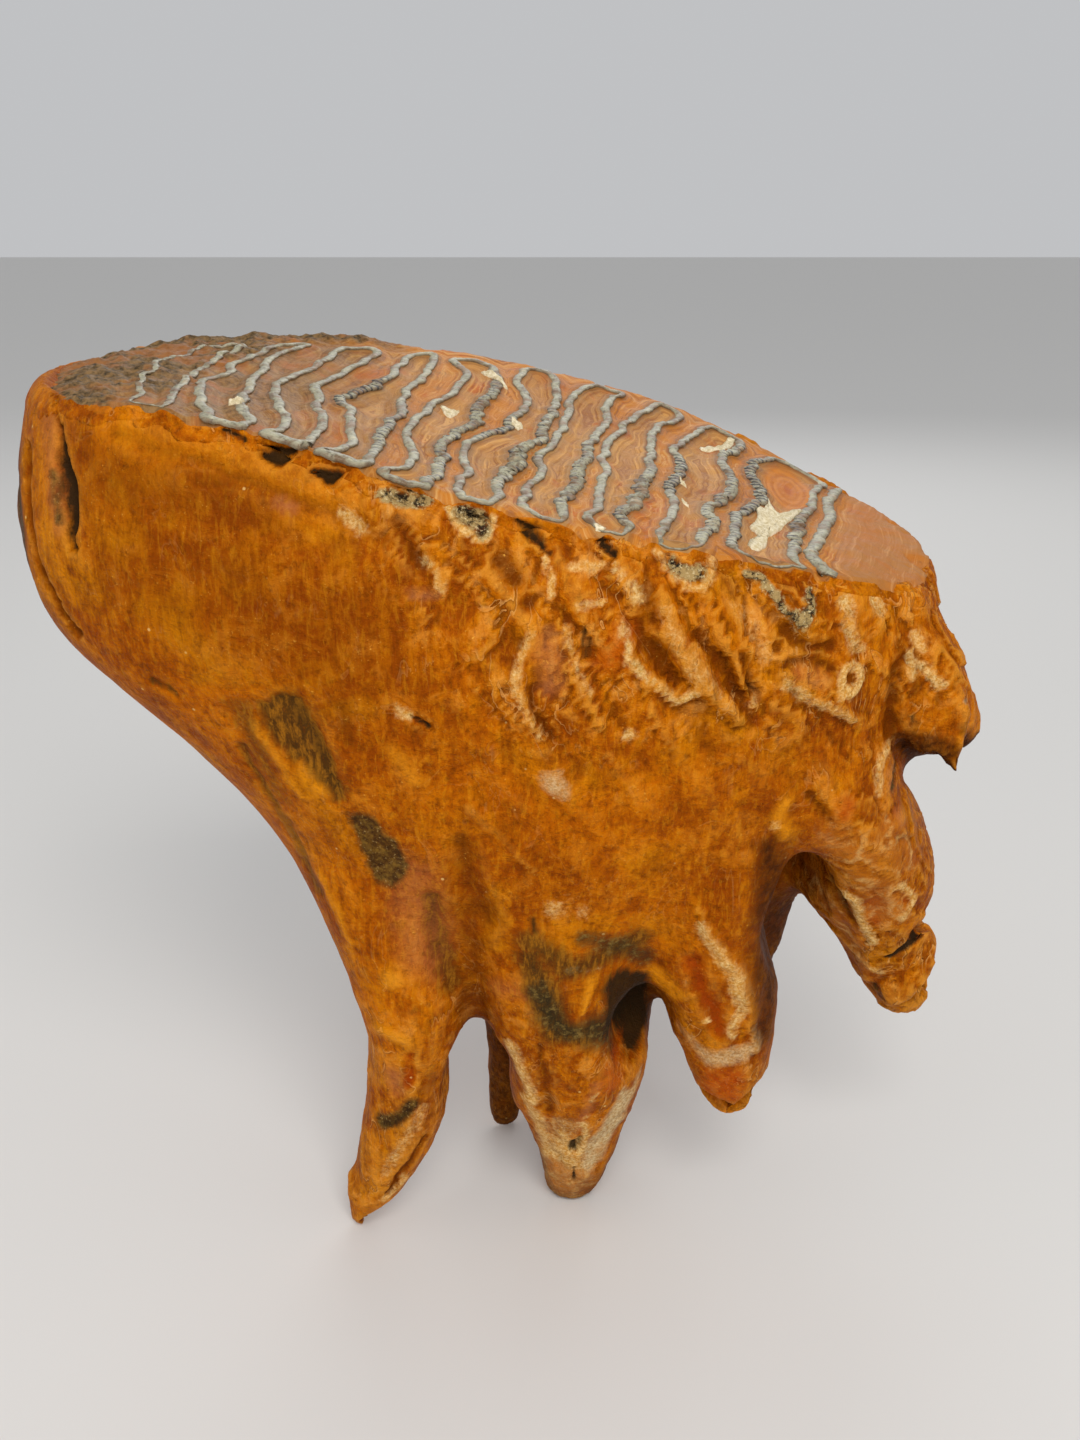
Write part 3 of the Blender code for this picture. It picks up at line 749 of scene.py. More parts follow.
LEFT_STROKES = (
    (((6, 158), (9, 146), (8, 132), (4, 120)), 1.3, 1.4, "dark", 0.8),
    (((-8, 150), (-6, 138)), 3.4, 0.4, "olive", 0.7),
    (((16, 150), (18, 136)), 4, 0.5, "brown", 0.8),
    (((-2, 116), (2, 104), (0, 90)), 3.4, 0.6, "brown", 0.6),
    (((-12, 96), (-10, 80)), 2.2, -0.3, "gold", 0.6),
    (((10, 104), (8, 90)), 1.4, 0, "cream", 0.5),
)
RIGHT_STROKES = (
    (((2, 124), (4, 114), (2, 106)), 1.3, 1.2, "dark", 0.7),
    (((-8, 128), (-10, 120)), 2.4, 0, "bone", 0.6),
    (((12, 126), (16, 114), (14, 102)), 3.4, 0.7, "brown", 0.8),
    (((0, 92), (4, 80), (2, 72)), 4, 0.4, "flake", 0.9),
    (((-4, 84), (-3, 74)), 1.2, 0.8, "red", 0.9),
    (((10, 90), (12, 78)), 1.2, -0.3, "cream", 0.6),
)

# Strokes along the near rim, cut into the body and into the face's edge alike
RIM_STROKES = (
    # pits under the ends of the enamel loops, darkened as painted shade
    (((-36.2, 158.8), (-33.4, 157.9), (-30.8, 158.2)), (0.8, 2.3, 0.8), 1.8, "dark", 1),
    (((-27.8, 155.8), (-25.6, 154.8), (-23, 155.2)), (0.8, 2.3, 0.8), 1.7, "dark", 1),
    (((-41.6, 161), (-38.2, 160.2)), 0.9, 0.8, "dark", 0.9),
    (((-17.6, 152.4), (-14.4, 151.4), (-10.6, 151.6)), (1.4, 1.9, 1.4), 0.8, "pore", 1),
    (((-15.4, 151.8), (-13.8, 151.4)), 1.1, 1.5, "dark", 1),
    (((3.2, 148), (5.8, 145.8), (8, 143)), (1.4, 2.2, 1), 1.4, "dark", 0.8),
    (((16.2, 144.6), (17.6, 142.8)), 1.6, 1.3, "dark", 0.9),
    # porous enamel ends that hang over the rim
    (((-8, 150.4), (-6.8, 148.8), (-4.8, 147), (-1.8, 145.4),
      (-0.6, 148.4)), 1, -0.7, "cream", 0.95),
    (((-5.4, 149.4), (-2.4, 148.2), (-2.2, 147)), 2.1, 0.7, "pore", 1),
    (((24.6, 142.8), (26.6, 140.2), (28.6, 138), (31.4, 137.4), (33, 139.2),
      (32.8, 141.4)), 1.1, -0.6, "cream", 0.6),
    (((27.4, 141.2), (29.8, 139.6), (31.4, 139.8)), 2.2, 0.8, "pore", 1),
    (((38.8, 139.2), (42.4, 136.6), (45.4, 133.2), (47.6, 131.2), (49.4, 132.8), (49.8, 136)),
      (1, 1.4, 1.2, 2.2, 1.2), -0.5, "pore", 1),
)

# Patches on the near flank: outline in x and z, soft edge, depth, stain, strength
NEAR_PATCHES = (
    # dark fibrous wood-like patch on the back flank, and the ochre beside it
    (((-39, 118), (-35, 120.4), (-31, 119), (-29, 113), (-27.2, 108), (-25.6, 102), (-27.6, 99.6),
      (-30, 103), (-32.4, 107), (-34.4, 106.6), (-36.6, 110), (-38.4, 114)), 1.4, 0.6, "fibre", 1),
    (((-35, 119), (-31.6, 118), (-29.4, 112), (-27, 104), (-29, 106),
      (-32, 112)), 2, 0.4, "dark", 0.5),
    (((-33, 106), (-30.5, 107), (-28.2, 101.6), (-31, 100)), 1.2, -0.2, "gold", 0.9),
    (((-45, 118), (-40, 119), (-38, 108), (-36, 98), (-38, 98), (-42, 108)), 2.2, 0, "fibre", 0.6),
    # olive scab below it
    (((-26, 97.6), (-21, 96.8), (-17.2, 92), (-15.6, 87.4), (-18.2, 82.4), (-22, 83.2),
      (-23.6, 88)), 1.3, 0.3, "olive", 1),
    (((-18, 90), (-12, 88), (-9, 74), (-12, 62), (-18, 66), (-19, 78)), 3.4, 0, "rosy", 0.65),
    # pale scar on the middle of the flank
    (((7, 107.8), (10.2, 107.6), (12.2, 104.4), (11.2, 101.4), (8.6, 101.6),
      (7, 104.6)), 1.6, -0.3, "bone", 0.6),
    # pale lights between the lobes
    (((35.6, 136), (40, 133), (44.6, 126), (42, 123.6), (39, 130)), 1.8, -0.2, "cream", 0.35),
    (((27, 133), (33, 125), (38, 117), (34, 119), (28, 127)), 1.6, 0, "cream", 0.35),
    # amber tone and painted shade on the smooth back flank, and a painted gold sheen along its rim
    (((-64, 152), (-40, 148), (-18, 138), (-14, 124), (-26, 118), (-44, 122),
      (-62, 134)), 9, 0, "brown", 0.42),
    (((-64, 163), (-46, 161), (-30, 156), (-18, 150), (-20, 147), (-34, 152), (-50, 157),
      (-64, 159)), 2.5, 0, "gold", 0.3),
    (((-76, 160), (-73, 162), (-72.6, 140), (-76, 138)), 2, 0, "gold", 0.4),
    (((-66, 159), (-50, 156), (-34, 150), (-30, 145), (-46, 147),
      (-66, 149)), 4.5, 0, "brown", 0.7),
    # flat pale scar on the middle root, and its porous tip
    (((22.6, 36.4), (24, 34), (25.8, 38), (25.2, 33), (23.8, 29), (22.8, 23.6), (20.4, 18.6),
      (18.4, 13), (16.6, 10), (14.8, 11.6), (15.8, 15.4), (15, 19.4), (17.6, 24),
      (19.4, 29.4)), 1.3, 0.2, "bone", 0.9),
    (((6, 12), (10, 14), (18, 10), (17, 0), (9, 0)), 2, 0.2, "flake", 0.9),
    (((6, 20), (11, 24), (15, 18), (17, 9), (16, 0), (8, 0), (6.4, 10)), 2.2, 0, "cream", 0.8),
    # pale collar of the short front root
    (((32.4, 50), (35.4, 46.4), (38.4, 45.2), (42, 46.8), (45, 47.6), (46.6, 52), (47.6, 46),
      (45.6, 42.6), (41, 41.4), (37, 41)), 2, 0, "bone", 0.62),
    (((37, 40.4), (41, 40.8), (45, 41), (45.4, 32), (40, 30), (37.4, 34)), 1.4, 0, "red", 0.9),
)

skin.stroke(NEAR_STROKES + RIM_STROKES, chalk=CHALK_POWER)
for side, strokes in (("far", FAR_STROKES), ("left", LEFT_STROKES), ("right", RIGHT_STROKES)):
    skin.stroke(strokes, side, GUESSED_WANDER)
for outline, soft, depth, stain, strength in NEAR_PATCHES:
    weight = skin.patch(outline, soft)
    skin.grow(-weight * depth)
    skin.stain(stain, weight, strength)

# Painted shade between the rows of roots, under the front arch and under the lip
facing_near = ease(-skin.normals[:, 1], -0.2, 0.4)
deep = ease(crosswise, -15.0, -6.0) * ease(-height, -72.0, -60.0) * facing_near
deep = deep * (lengthwise < 58.0)
ARCH = ((46, 90), (47.4, 80), (48.6, 66), (48.6, 48))
under_arch = skin.brush(ARCH, (5.0, 8.0, 8.0, 5.0), "through", 1.4)
under_arch *= ease(skin.normals[:, 0], 0.0, 0.4)
under_lip = ease(-skin.normals[:, 2], 0.05, 0.40) * ease(lengthwise, 66.0, 70.0)
under_lip = under_lip * (height > 94.0) * (height < 112.0)
for zone, dirt_and_shade, shadow in ((deep, 0.9, 0.8), (under_arch, 1.0, 0.9), (under_lip, 1.0, 1.0)):
    skin.stain("brown", zone, dirt_and_shade)
    skin.stain("shade", zone, shadow)

# The root tips stand on the floor; standing proud gives painted highlights, hollows painted shade
skin.points[:, 2] = np.maximum(skin.points[:, 2], 0.0)
skin.renew()
proudness = 0.5 + skin.proud(FINE_ROUNDS) * 1.5 + skin.proud(BROAD_ROUNDS) * 0.22
skin.stains["proud"] = np.clip(proudness, 0.0, 1.0)
skin.stains["rough"] = bumpy
skin.points[:, 2] -= FACE_SINK * in_face
skin.finish()
body.data.shade_smooth()


def shade(red, green, blue):
    """A colour as the eye reads it, 0 to 255, turned into light values."""
    parts = []
    for value in (red, green, blue):
        v = value / 255.0
        parts.append(v / 12.92 if v <= 0.04045 else ((v + 0.055) / 1.055) ** 2.4)
    return (*parts, 1.0)


def add_node(tree, kind, inputs, **settings):
    """A node of any tree, with its settings and its inputs by name or number."""
    made = tree.nodes.new(kind)
    for key, value in settings.items():
        setattr(made, key, value)
    for key, value in inputs.items():
        if isinstance(value, bpy.types.NodeSocket):
            tree.links.new(value, made.inputs[key])
        else:
            made.inputs[key].default_value = value
    return made


def maths(tree, operation, *terms):
    inputs = dict(enumerate(terms))
    return add_node(tree, "ShaderNodeMath", inputs, operation=operation).outputs[0]


class Paint:
    """A procedural material: colours laid one over another, broken up by noise."""

    def __init__(self, name):
        self.material, self.tree, self.shader = new_material(name)
        self.place = self.stretched()
        self.colour = None

    def add(self, kind, inputs, **settings):
        return add_node(self.tree, "ShaderNode" + kind, inputs, **settings)

    def sums(self, operation, first, second=0.0):
        return maths(self.tree, operation, first, second)

    def stretched(self, scale=(1.0, 1.0, 1.0), lean=0.0):
        """The place on the object, drawn out along Z and leaning by some degrees."""
        inputs = {"Vector": self.add("TexCoord", {}).outputs["Object"], "Scale": scale,
                  "Rotation": (0.0, math.radians(lean), 0.0)}
        return self.add("Mapping", inputs).outputs["Vector"]

    def grain(self, size, detail=3.0, rough=0.55, warp=0.0, place=None):
        """Noise of about 0 to 1, whose blotches are some mm across."""
        inputs = {"Vector": self.place if place is None else place,
                  "Scale": 1.0 / (size * MM), "Detail": detail, "Roughness": rough,
                  "Distortion": warp}
        return self.add("TexNoise", inputs).outputs["Fac"]

    def mask(self, name):
        return self.add("Attribute", {}, attribute_name=name).outputs["Fac"]

    def span(self, value, low, high, out_low=0.0, out_high=1.0):
        """A value's range turned into another range, clamped."""
        inputs = {"Value": value, "From Min": low, "From Max": high, "To Min": out_low,
                  "To Max": out_high}
        return self.add("MapRange", inputs).outputs["Result"]

    def blend(self, amount, under, over):
        """One colour over another by an amount of 0 to 1; three numbers are a shade."""
        under, over = (shade(*c) if isinstance(c, tuple) else c for c in (under, over))
        return self.add("Mix", {0: amount, 6: under, 7: over}, data_type="RGBA").outputs[2]

    def mix(self, value, low, high, under, over, top=1.0, times=None):
        """Two colours, mixed by where a value lies from low to high."""
        amount = self.span(value, low, high, 0.0, top)
        if times is not None:
            amount = self.sums("MULTIPLY", amount, times)
        return self.blend(amount, under, over)

    def lay(self, value, low, high, top, over, times=None):
        """Lay a colour over what is painted, by where a value lies from low to high."""
        self.colour = self.mix(value, low, high, self.colour, over, top, times)

    def cover(self, amount, over):
        self.colour = self.blend(amount, self.colour, over)

    def ragged(self, name, breakup, spread, sharp, top, over):
        """Lay a colour where a mask is, its edge and its inside broken up by noise."""
        lifted = self.sums("MULTIPLY", self.sums("SUBTRACT", breakup, 0.5), spread)
        painted = self.mask(name)
        total = self.sums("ADD", painted, lifted)
        total = self.span(total, 0.5 - sharp, 0.5 + sharp, 0.0, top)
        self.cover(self.sums("MULTIPLY", total, self.span(painted, 0.0, 0.3)), over)

    def gentle(self, name, breakup, top, over):
        """Lay a colour where a mask is, its edge soft and only mottled by noise."""
        mottled = self.span(breakup, 0.30, 0.62, 0.45 * top, top)
        self.cover(self.sums("MULTIPLY", self.mask(name), mottled), over)

    def finish(self, roughness, specular, relief, strength, distance):
        """Feed the shader, with a fine relief some mm high under the real shape."""
        self.tree.links.new(self.colour, self.shader.inputs["Base Color"])
        if isinstance(roughness, bpy.types.NodeSocket):
            self.tree.links.new(roughness, self.shader.inputs["Roughness"])
        else:
            self.shader.inputs["Roughness"].default_value = roughness
        self.shader.inputs["Specular IOR Level"].default_value = specular
        inputs = {"Strength": strength, "Distance": distance * MM, "Height": relief}
        bump = self.add("Bump", inputs)
        self.tree.links.new(bump.outputs["Normal"], self.shader.inputs["Normal"])


AMBER = (184, 93, 0)
HONEY = (216, 127, 2)
UMBER = (144, 62, 0)
RUST = (124, 54, 0)
DARK_STAIN_AND_SHADE = (40, 29, 14)

cementum = Paint("stained_cementum")
broad = cementum.grain(30.0, 3.0, 0.55, 0.4)
hue = cementum.grain(17.0, 4.0, 0.6, 0.6)
mottle = cementum.grain(6.0, 5.0, 0.70, 0.5)
speckle = cementum.grain(1.6, 4.0, 0.72)
dust = cementum.grain(0.6, 3.0, 0.65)
streak = cementum.grain(2.4, 4.0, 0.62, 0.3, cementum.stretched((1.0, 1.0, 0.14), -14.0))
hair = cementum.grain(1.0, 3.0, 0.7, 0.5, cementum.stretched((1.0, 1.0, 0.22), -24.0))
flow = cementum.grain(8.0, 3.0, 0.6, 1.1, cementum.stretched((1.0, 1.0, 0.5), -32.0))
proud = cementum.mask("proud")
rough = cementum.mask("rough")
roughly = cementum.span(rough, 0.15, 0.8, 0.72, 1.1)

# The ground colour, then its blotches, streaks and hairs: a value, its range,
# how strong, the colour, and where it is stronger
cementum.colour = cementum.mix(broad, 0.36, 0.64, UMBER, AMBER)
for layer in (
    (hue, 0.50, 0.68, 0.65, (196, 122, 2)),
    (hue, 0.50, 0.36, 0.60, (134, 58, 0)),
    (mottle, 0.46, 0.72, 0.75, HONEY, roughly),
    (mottle, 0.50, 0.32, 0.75, RUST, roughly),
    (streak, 0.50, 0.70, 0.45, HONEY, roughly),
    (streak, 0.46, 0.32, 0.4, RUST, roughly),
    (speckle, 0.54, 0.74, 0.34, (226, 144, 20), roughly),
    (speckle, 0.48, 0.32, 0.6, (98, 44, 0)),
    (hair, 0.52, 0.68, 0.35, (214, 138, 18)),
    (hair, 0.46, 0.32, 0.4, (106, 48, 0)),
    # painted highlights on what stands proud, painted shade in hollows
    (proud, 0.58, 0.90, 0.42, (228, 152, 50), roughly),
    (proud, 0.44, 0.15, 0.65, (92, 38, 0)),
):
    cementum.lay(*layer)

# Where the skin is rough, sheets end in steps: painted highlight on the edge, painted shade at the
# foot
sheet = cementum.sums("FRACT", cementum.sums("MULTIPLY", flow, 5.0))
torn = cementum.span(cementum.grain(9.0, 2.0), 0.46, 0.60)
broken = cementum.sums("MULTIPLY", rough, torn)
cementum.lay(sheet, 0.84, 1.0, 0.7, (94, 42, 4), broken)
sheet_edge = cementum.span(sheet, 0.0, 0.13, 0.75, 0.0)
cementum.cover(cementum.sums("MULTIPLY", sheet_edge, broken), (226, 164, 90))
paler = cementum.span(mottle, 0.54, 0.66, 0.0, 0.40)
cementum.cover(cementum.sums("MULTIPLY", rough, paler), (224, 152, 72))

# Soft stains, the brown one partly painted shade, then sparse specks and flecks as painted glints
for name, top, paint in (("brown", 0.85, (96, 42, 0)), ("gold", 0.7, (236, 150, 18)),
                         ("rosy", 0.6, (176, 108, 66)), ("red", 0.75, (176, 66, 6))):
    cementum.gentle(name, speckle, top, paint)
spots = {"Vector": cementum.place, "Scale": 1.0 / (7.0 * MM), "Randomness": 1.0}
spots = cementum.add("TexVoronoi", spots).outputs["Distance"]
cementum.cover(cementum.span(spots, 0.025, 0.05, 0.6, 0.0), (236, 196, 120))
glint = cementum.sums("MULTIPLY", cementum.span(dust, 0.64, 0.72, 0.0, 0.55),
                      cementum.span(mottle, 0.46, 0.60, 0.25, 1.0))
cementum.cover(cementum.sums("MULTIPLY", glint, roughly), (240, 176, 70))

# Hard-edged scabs, chalk films, bare bone, flakes, wood-like fibre, painted shade and dark stains
scab = cementum.mix(speckle, 0.44, 0.64, (36, 33, 18), (104, 84, 36))
scab = cementum.mix(dust, 0.60, 0.68, scab, (160, 138, 88), 0.7)
chalk = cementum.mix(dust, 0.38, 0.62, (202, 146, 64), (242, 206, 138))
bone = cementum.mix(dust, 0.36, 0.66, (180, 140, 84), (228, 204, 156))
bone = cementum.mix(mottle, 0.50, 0.66, bone, (196, 132, 62), 0.6)
cells = {"Vector": cementum.place, "Scale": 1.0 / (5.5 * MM), "Randomness": 1.0}
cell_gap = cementum.add("TexVoronoi", cells, feature="DISTANCE_TO_EDGE").outputs["Distance"]
wavy = cementum.sums("MULTIPLY", cementum.sums("SUBTRACT", speckle, 0.5), 0.6)
cell_gap = cementum.sums("ADD", cell_gap, wavy)
cell_tone = {"Color": cementum.add("TexVoronoi", cells).outputs["Color"]}
cell_tone = cementum.add("SeparateColor", cell_tone).outputs["Red"]
flakes = cementum.blend(cell_tone, (150, 72, 6), (190, 112, 40))
cell_lines = cementum.sums("MULTIPLY", cementum.span(cell_gap, 0.0, 0.15, 0.8, 0.0),
                           cementum.span(mottle, 0.44, 0.56))
flakes = cementum.blend(cell_lines, flakes, (226, 176, 104))
wood = cementum.mix(hair, 0.44, 0.62, (54, 42, 16), (142, 92, 22))
smoke = cementum.mix(speckle, 0.50, 0.66, (44, 38, 22), (120, 96, 48))
pores = cementum.mix(speckle, 0.44, 0.56, (40, 34, 26), (168, 140, 90))
pores = cementum.mix(dust, 0.56, 0.70, pores, (216, 196, 150))
for stain in (("olive", mottle, 1.6, 0.3, 0.85, scab), ("cream", speckle, 1.5, 0.42, 0.85, chalk),
              ("bone", mottle, 1.2, 0.30, 0.92, bone), ("flake", mottle, 1.4, 0.4, 0.75, flakes),
              ("fibre", hair, 1.5, 0.36, 0.85, wood), ("smoke", speckle, 1.6, 0.45, 0.92, smoke)):
    cementum.ragged(*stain)
cementum.gentle("shade", speckle, 1.0, (58, 26, 4))
# the dark stain, also painted shade in hollows and pits
cementum.ragged("dark", hair, 0.8, 0.22, 0.95, DARK_STAIN_AND_SHADE)
cementum.ragged("pore", speckle, 1.9, 0.25, 1.0, pores)

relief = mottle
for part, share in ((speckle, 0.55), (dust, 0.16), (streak, 0.3),
                    (sheet, cementum.sums("MULTIPLY", broken, 0.35))):
    relief = cementum.sums("ADD", relief, cementum.sums("MULTIPLY", part, share))
cementum.finish(cementum.span(mottle, 0.3, 0.7, 0.40, 0.58), 0.03, relief, 0.85, 1.1)

body.data.materials.clear()
body.data.materials.append(cementum.material)
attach(body, "root")
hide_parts("mammoth_molar")


# ---------------------------------------------------------------------------
# The chewing face: dentine and cementum worn flat by grinding, a little
# hollowed between the harder enamel, crusted at the back end and bare at the
# front. It is a slab over the body's sunk top, its height taken from the body.

# Each loop of enamel: its back arm and its front arm from the near rim to the
# far rim, as x, y and how tightly the enamel is crimped there
LOOPS = (
    (((-57, -28.5), (-58, -21), (-60, -10), (-60.5, 0), (-59, 10), (-56, 19)),
     ((-51.5, -29.5), (-53, -20), (-53.5, -10), (-53, 2), (-51.5, 14), (-49.5, 22))),
    (((-44.5, -33), (-46.3, -28), (-49, -17), (-50.5, -7), (-48, 0), (-48, 7), (-45, 17),
      (-43, 23)),
     ((-38.5, -31), (-41.5, -22, 0.3), (-43, -8), (-42.5, 6), (-42, 17), (-38, 26))),
    (((-35.4, -35.4), (-33.6, -31), (-34, -26), (-37, -14), (-39, -4), (-36.5, 7), (-33.5, 17),
      (-31, 27)),
     ((-29, -33), (-28.5, -21), (-31, -9), (-32.5, 0, 0.3), (-28.5, 14), (-25, 29))),
    (((-27, -36.4), (-24, -31), (-24, -22), (-25.5, -9), (-27.5, -5, 0.7), (-24, 6, 1.1),
      (-20.5, 16), (-18.5, 29)),
     ((-20.5, -35), (-19.6, -20, 0.7), (-18, -5, 0.4), (-17.5, 9), (-15, 19), (-13.5, 31))),
    (((-17.4, -37), (-14.5, -31), (-14.5, -22), (-15.5, -10), (-13, 3), (-9.5, 13), (-7.6, 23),
      (-10, 31)),
     ((-10, -33, 0.6), (-9.8, -19, 0.8), (-9, -10, 0.8), (-5, 1, 1), (-4.5, 9, 1),
    (-1.8, 21, 0.8), (-3, 31))),
    (((-6.6, -37), (-5.6, -27), (-5.8, -12), (-3, -6, 0.6), (1, 3, 0.5), (3.6, 16), (2.2, 26),
      (3.5, 33)),
     ((-0.6, -35.5), (-0.2, -29, 0.5), (2, -18, 2), (2.8, -10, 1.5), (6.2, -3, 0.8),
    (7.6, 9, 0.6), (9.6, 21), (8.6, 33))),
    (((4.4, -36.5), (3.6, -33), (5.4, -24), (7.2, -17), (6.4, -13), (9, 1), (11, 10), (12.6, 22),
      (17, 32)),
     ((10.4, -35), (9.6, -31, 0.6), (11.2, -26, 0.9), (13.2, -13, 1.2), (15, -2, 0.5), (18.4, 15),
    (19.2, 25), (22.5, 33))),
    (((13.8, -36), (15.6, -29), (15.6, -22), (18.2, -9), (17.4, -4), (20, 8), (23, 18), (29, 32)),
     ((20.2, -36), (19.2, -32, 0.8), (22, -24, 1.3), (23.6, -12, 1.2), (26, -3, 0.4), (26.4, 9),
    (28, 18), (33.5, 31))),
    (((24.6, -37), (27, -28), (29.2, -17), (28.8, -9, 0.9), (31.6, 3, 0.7), (31.6, 11), (35, 21),
      (39.5, 30.5)),
     ((30.8, -35.5), (32.4, -30, 0.7), (35.6, -23, 1), (34.6, -18, 0.8), (38.4, -8, 1.2),
    (40.6, 2, 0.6), (40.6, 15, 0.4), (43.4, 20, 1.3), (45, 28))),
    (((38.6, -35), (37, -30, 0.4), (39.2, -22, 0.4), (40.6, -13, 0.6), (45.6, -2, 0.9),
      (45.2, 9, 0.9), (47, 17, 0.8), (52, 25)),
     ((49, -33.5), (47.2, -28, 0.3), (49.2, -20, 0.9), (51.6, -9, 1), (55.4, 3, 0.3), (58.2, 15),
    (60, 21))),
)
FRONT_BAND = ((54.5, -33), (51.8, -30.5), (50.8, -25), (54.6, -13), (58.6, 0), (60.2, 11), (64, 22))

FACE_COLUMNS = 360
FACE_ROWS = 176
FACE_PROUD = 0.35          # the face over the level the body was packed at
FACE_HOLLOW = 0.85         # how far grinding hollowed it between the ridges
RIM_DROP = 0.35            # how far its very rim is worn down
CHIP_DEPTH = 0.9           # how deep the chips along the rim are
BAND_LIMIT = 0.988         # how near the rim the enamel comes, as a share of its radius
CRIMP_PITCH = 1.5 * MM     # from one crimp of the enamel to the next
# How thick each loop's enamel is at its turn on the near rim, against elsewhere
NEAR_TURNS = (0.6, 1.35, 1.7, 1.7, 1.2, 0.9, 0.6, 0.45, 0.45, 0.45, 1.3)
FAR_TURN = 0.65
FRONT_STOUTNESS = 1.35     # the front band is one broad, smooth ribbon
FRONT_KINKS = 0.4
RAY_TOP = 0.4              # m, where rays cast down on the tooth start

# The slab's edge, from the rim down: how far below the rim, and out from the body
EDGE_RINGS = ((0.45, 0.12), (1.0, 0.15), (1.6, 0.15), (2.2, 0.05), (3.0, -1.4))
EDGE_REACH = 2.6           # how far the edge may flare out to meet the body
EDGE_SEARCH = 9.0          # how far outside the rim the body's skin is looked for
EDGE_SHARE = 0.7           # how deep the rim's strokes cut into the slab's edge
EYE_PLACE = (52.6, 11.5)   # a ringed eye of dentine inside the front loop
EYE_HALF = (5.0, 13.0)


def flowing(points, closed, step=0.5):
    """A smooth line through some points, of x, y and more, at even small steps."""
    rows = np.array([tuple(p) + (0.0,) * (3 - len(p)) for p in points], float)
    count = len(rows)
    line = []
    for k in range(count if closed else count - 1):
        places = (k - 1, k, k + 1, k + 2)
        if closed:
            a, b, c, d = (rows[place % count] for place in places)
        else:
            a, b, c, d = (rows[min(max(place, 0), count - 1)] for place in places)
        steps = max(int(np.linalg.norm(c[:2] - b[:2]) / step), 1)
        for t in np.arange(steps) / steps:
            line.append(0.5 * (2 * b + (c - a) * t + (2 * a - 5 * b + 4 * c - d) * t * t
                               + (3 * b - a - 3 * c + d) * t ** 3))
    if not closed:
        line.append(rows[-1])
    return np.array(line)


def crinkled(line, seed, amount=1.0):
    """Add the small kinks of enamel to a line, sharper where it is crimped."""
    flat = np.column_stack((line[:, :2], np.full(len(line), seed * 9.0)))
    kinks = noise_columns(flat, 7.0, 2, (seed, seed + 30.0))
    small = noise_columns(flat, 2.4, 2, (seed + 60.0, seed + 90.0))
    line[:, :2] += (kinks + small * (0.26 + 0.55 * line[:, 2:3])) * amount
    line[:, 2] *= amount
    return line


def drop_onto(tree, x, y):
    """The height in mm of a surface at a plan point, or None beside it."""
    hit = tree.ray_cast(Vector((x * MM, y * MM, RAY_TOP)), Vector((0, 0, -1)))[0]
    return hit.z / MM if hit else None


bands = []
for number, (back_arm, front_arm) in enumerate(LOOPS):
    turn_x = back_arm[0][0] * 0.35 + front_arm[0][0] * 0.65
    near_turn = ((turn_x, min(back_arm[0][1], front_arm[0][1]) - 3.4),)
    line = flowing(back_arm + front_arm[::-1] + near_turn, True)
    bands.append((crinkled(line, number + 1.0), True))
bands.append((crinkled(flowing(FRONT_BAND, False), 20.0, FRONT_KINKS), False))
stoutness = []
for (line, _), near_turn in zip(bands, NEAR_TURNS):
    reach = rim_reach(line[:, :2])
    turning = np.where(line[:, 1] < 0, near_turn - 1.0, FAR_TURN - 1.0)
    thinner = 0.35 * ease(-line[:, 0], 46.0, 58.0)
    stoutness.append(1.0 + ease(reach, 0.90, 0.97) * turning - thinner)
    out = np.maximum(reach / BAND_LIMIT, 1.0)
    line[:, :2] = FACE_MIDDLE + (line[:, :2] - FACE_MIDDLE) / out[:, None]
stoutness[-1] *= FRONT_STOUTNESS

# The face's grid: a square bent onto a disc, and the disc onto the rim
across, along = np.meshgrid(np.linspace(-1, 1, FACE_COLUMNS), np.linspace(-1, 1, FACE_ROWS))
disc_x = (across * np.sqrt(1 - along ** 2 / 2)).ravel()
disc_y = (along * np.sqrt(1 - across ** 2 / 2)).ravel()
reach = np.hypot(disc_x, disc_y)
edge = rim_radius(np.arctan2(disc_y, disc_x) / math.tau)
plan = FACE_MIDDLE + FACE_HALF * np.column_stack((disc_x, disc_y)) * edge[:, None]
level = [drop_onto(wear_tree, x, y) for x, y in plan.tolist()]
level = np.array([FACE_LOWEST - 3.0 if found is None else found for found in level])

# Near the rim the ground face runs on flat, past the body's rounded edge
x, y = plan[:, 0] / 80.0, plan[:, 1] / 40.0
terms = [x ** a * y ** b for a in range(6) for b in range(4) if a + b < 7]
terms = np.column_stack(terms)
middle = reach < 0.9
fit = np.linalg.lstsq(terms[middle], level[middle], rcond=None)[0]
runs_on = ease(reach, 0.86, 0.95)
level = level * (1 - runs_on) + (terms @ fit) * runs_on
face_points = np.column_stack((plan, level))

# How far each point lies from the enamel, and whether it is inside a loop
band_points = [(x, y, crimp) for line, _ in bands for x, y, crimp in line.tolist()]
band_tree = KDTree(len(band_points))
for k, (x, y, _) in enumerate(band_points):
    band_tree.insert((x, y, 0.0), k)
band_tree.balance()
nearest = [band_tree.find((x, y, 0.0)) for x, y in plan.tolist()]
gap = np.array([found[2] for found in nearest])
crimp_near = np.array([band_points[found[1]][2] for found in nearest])
gap = np.maximum(gap - 0.55 * crimp_near, 0.0)
in_loop = np.zeros(len(plan), bool)
for line, closed in bands:
    if closed:
        in_loop |= inside_outline(plan, line[::3, :2].tolist())

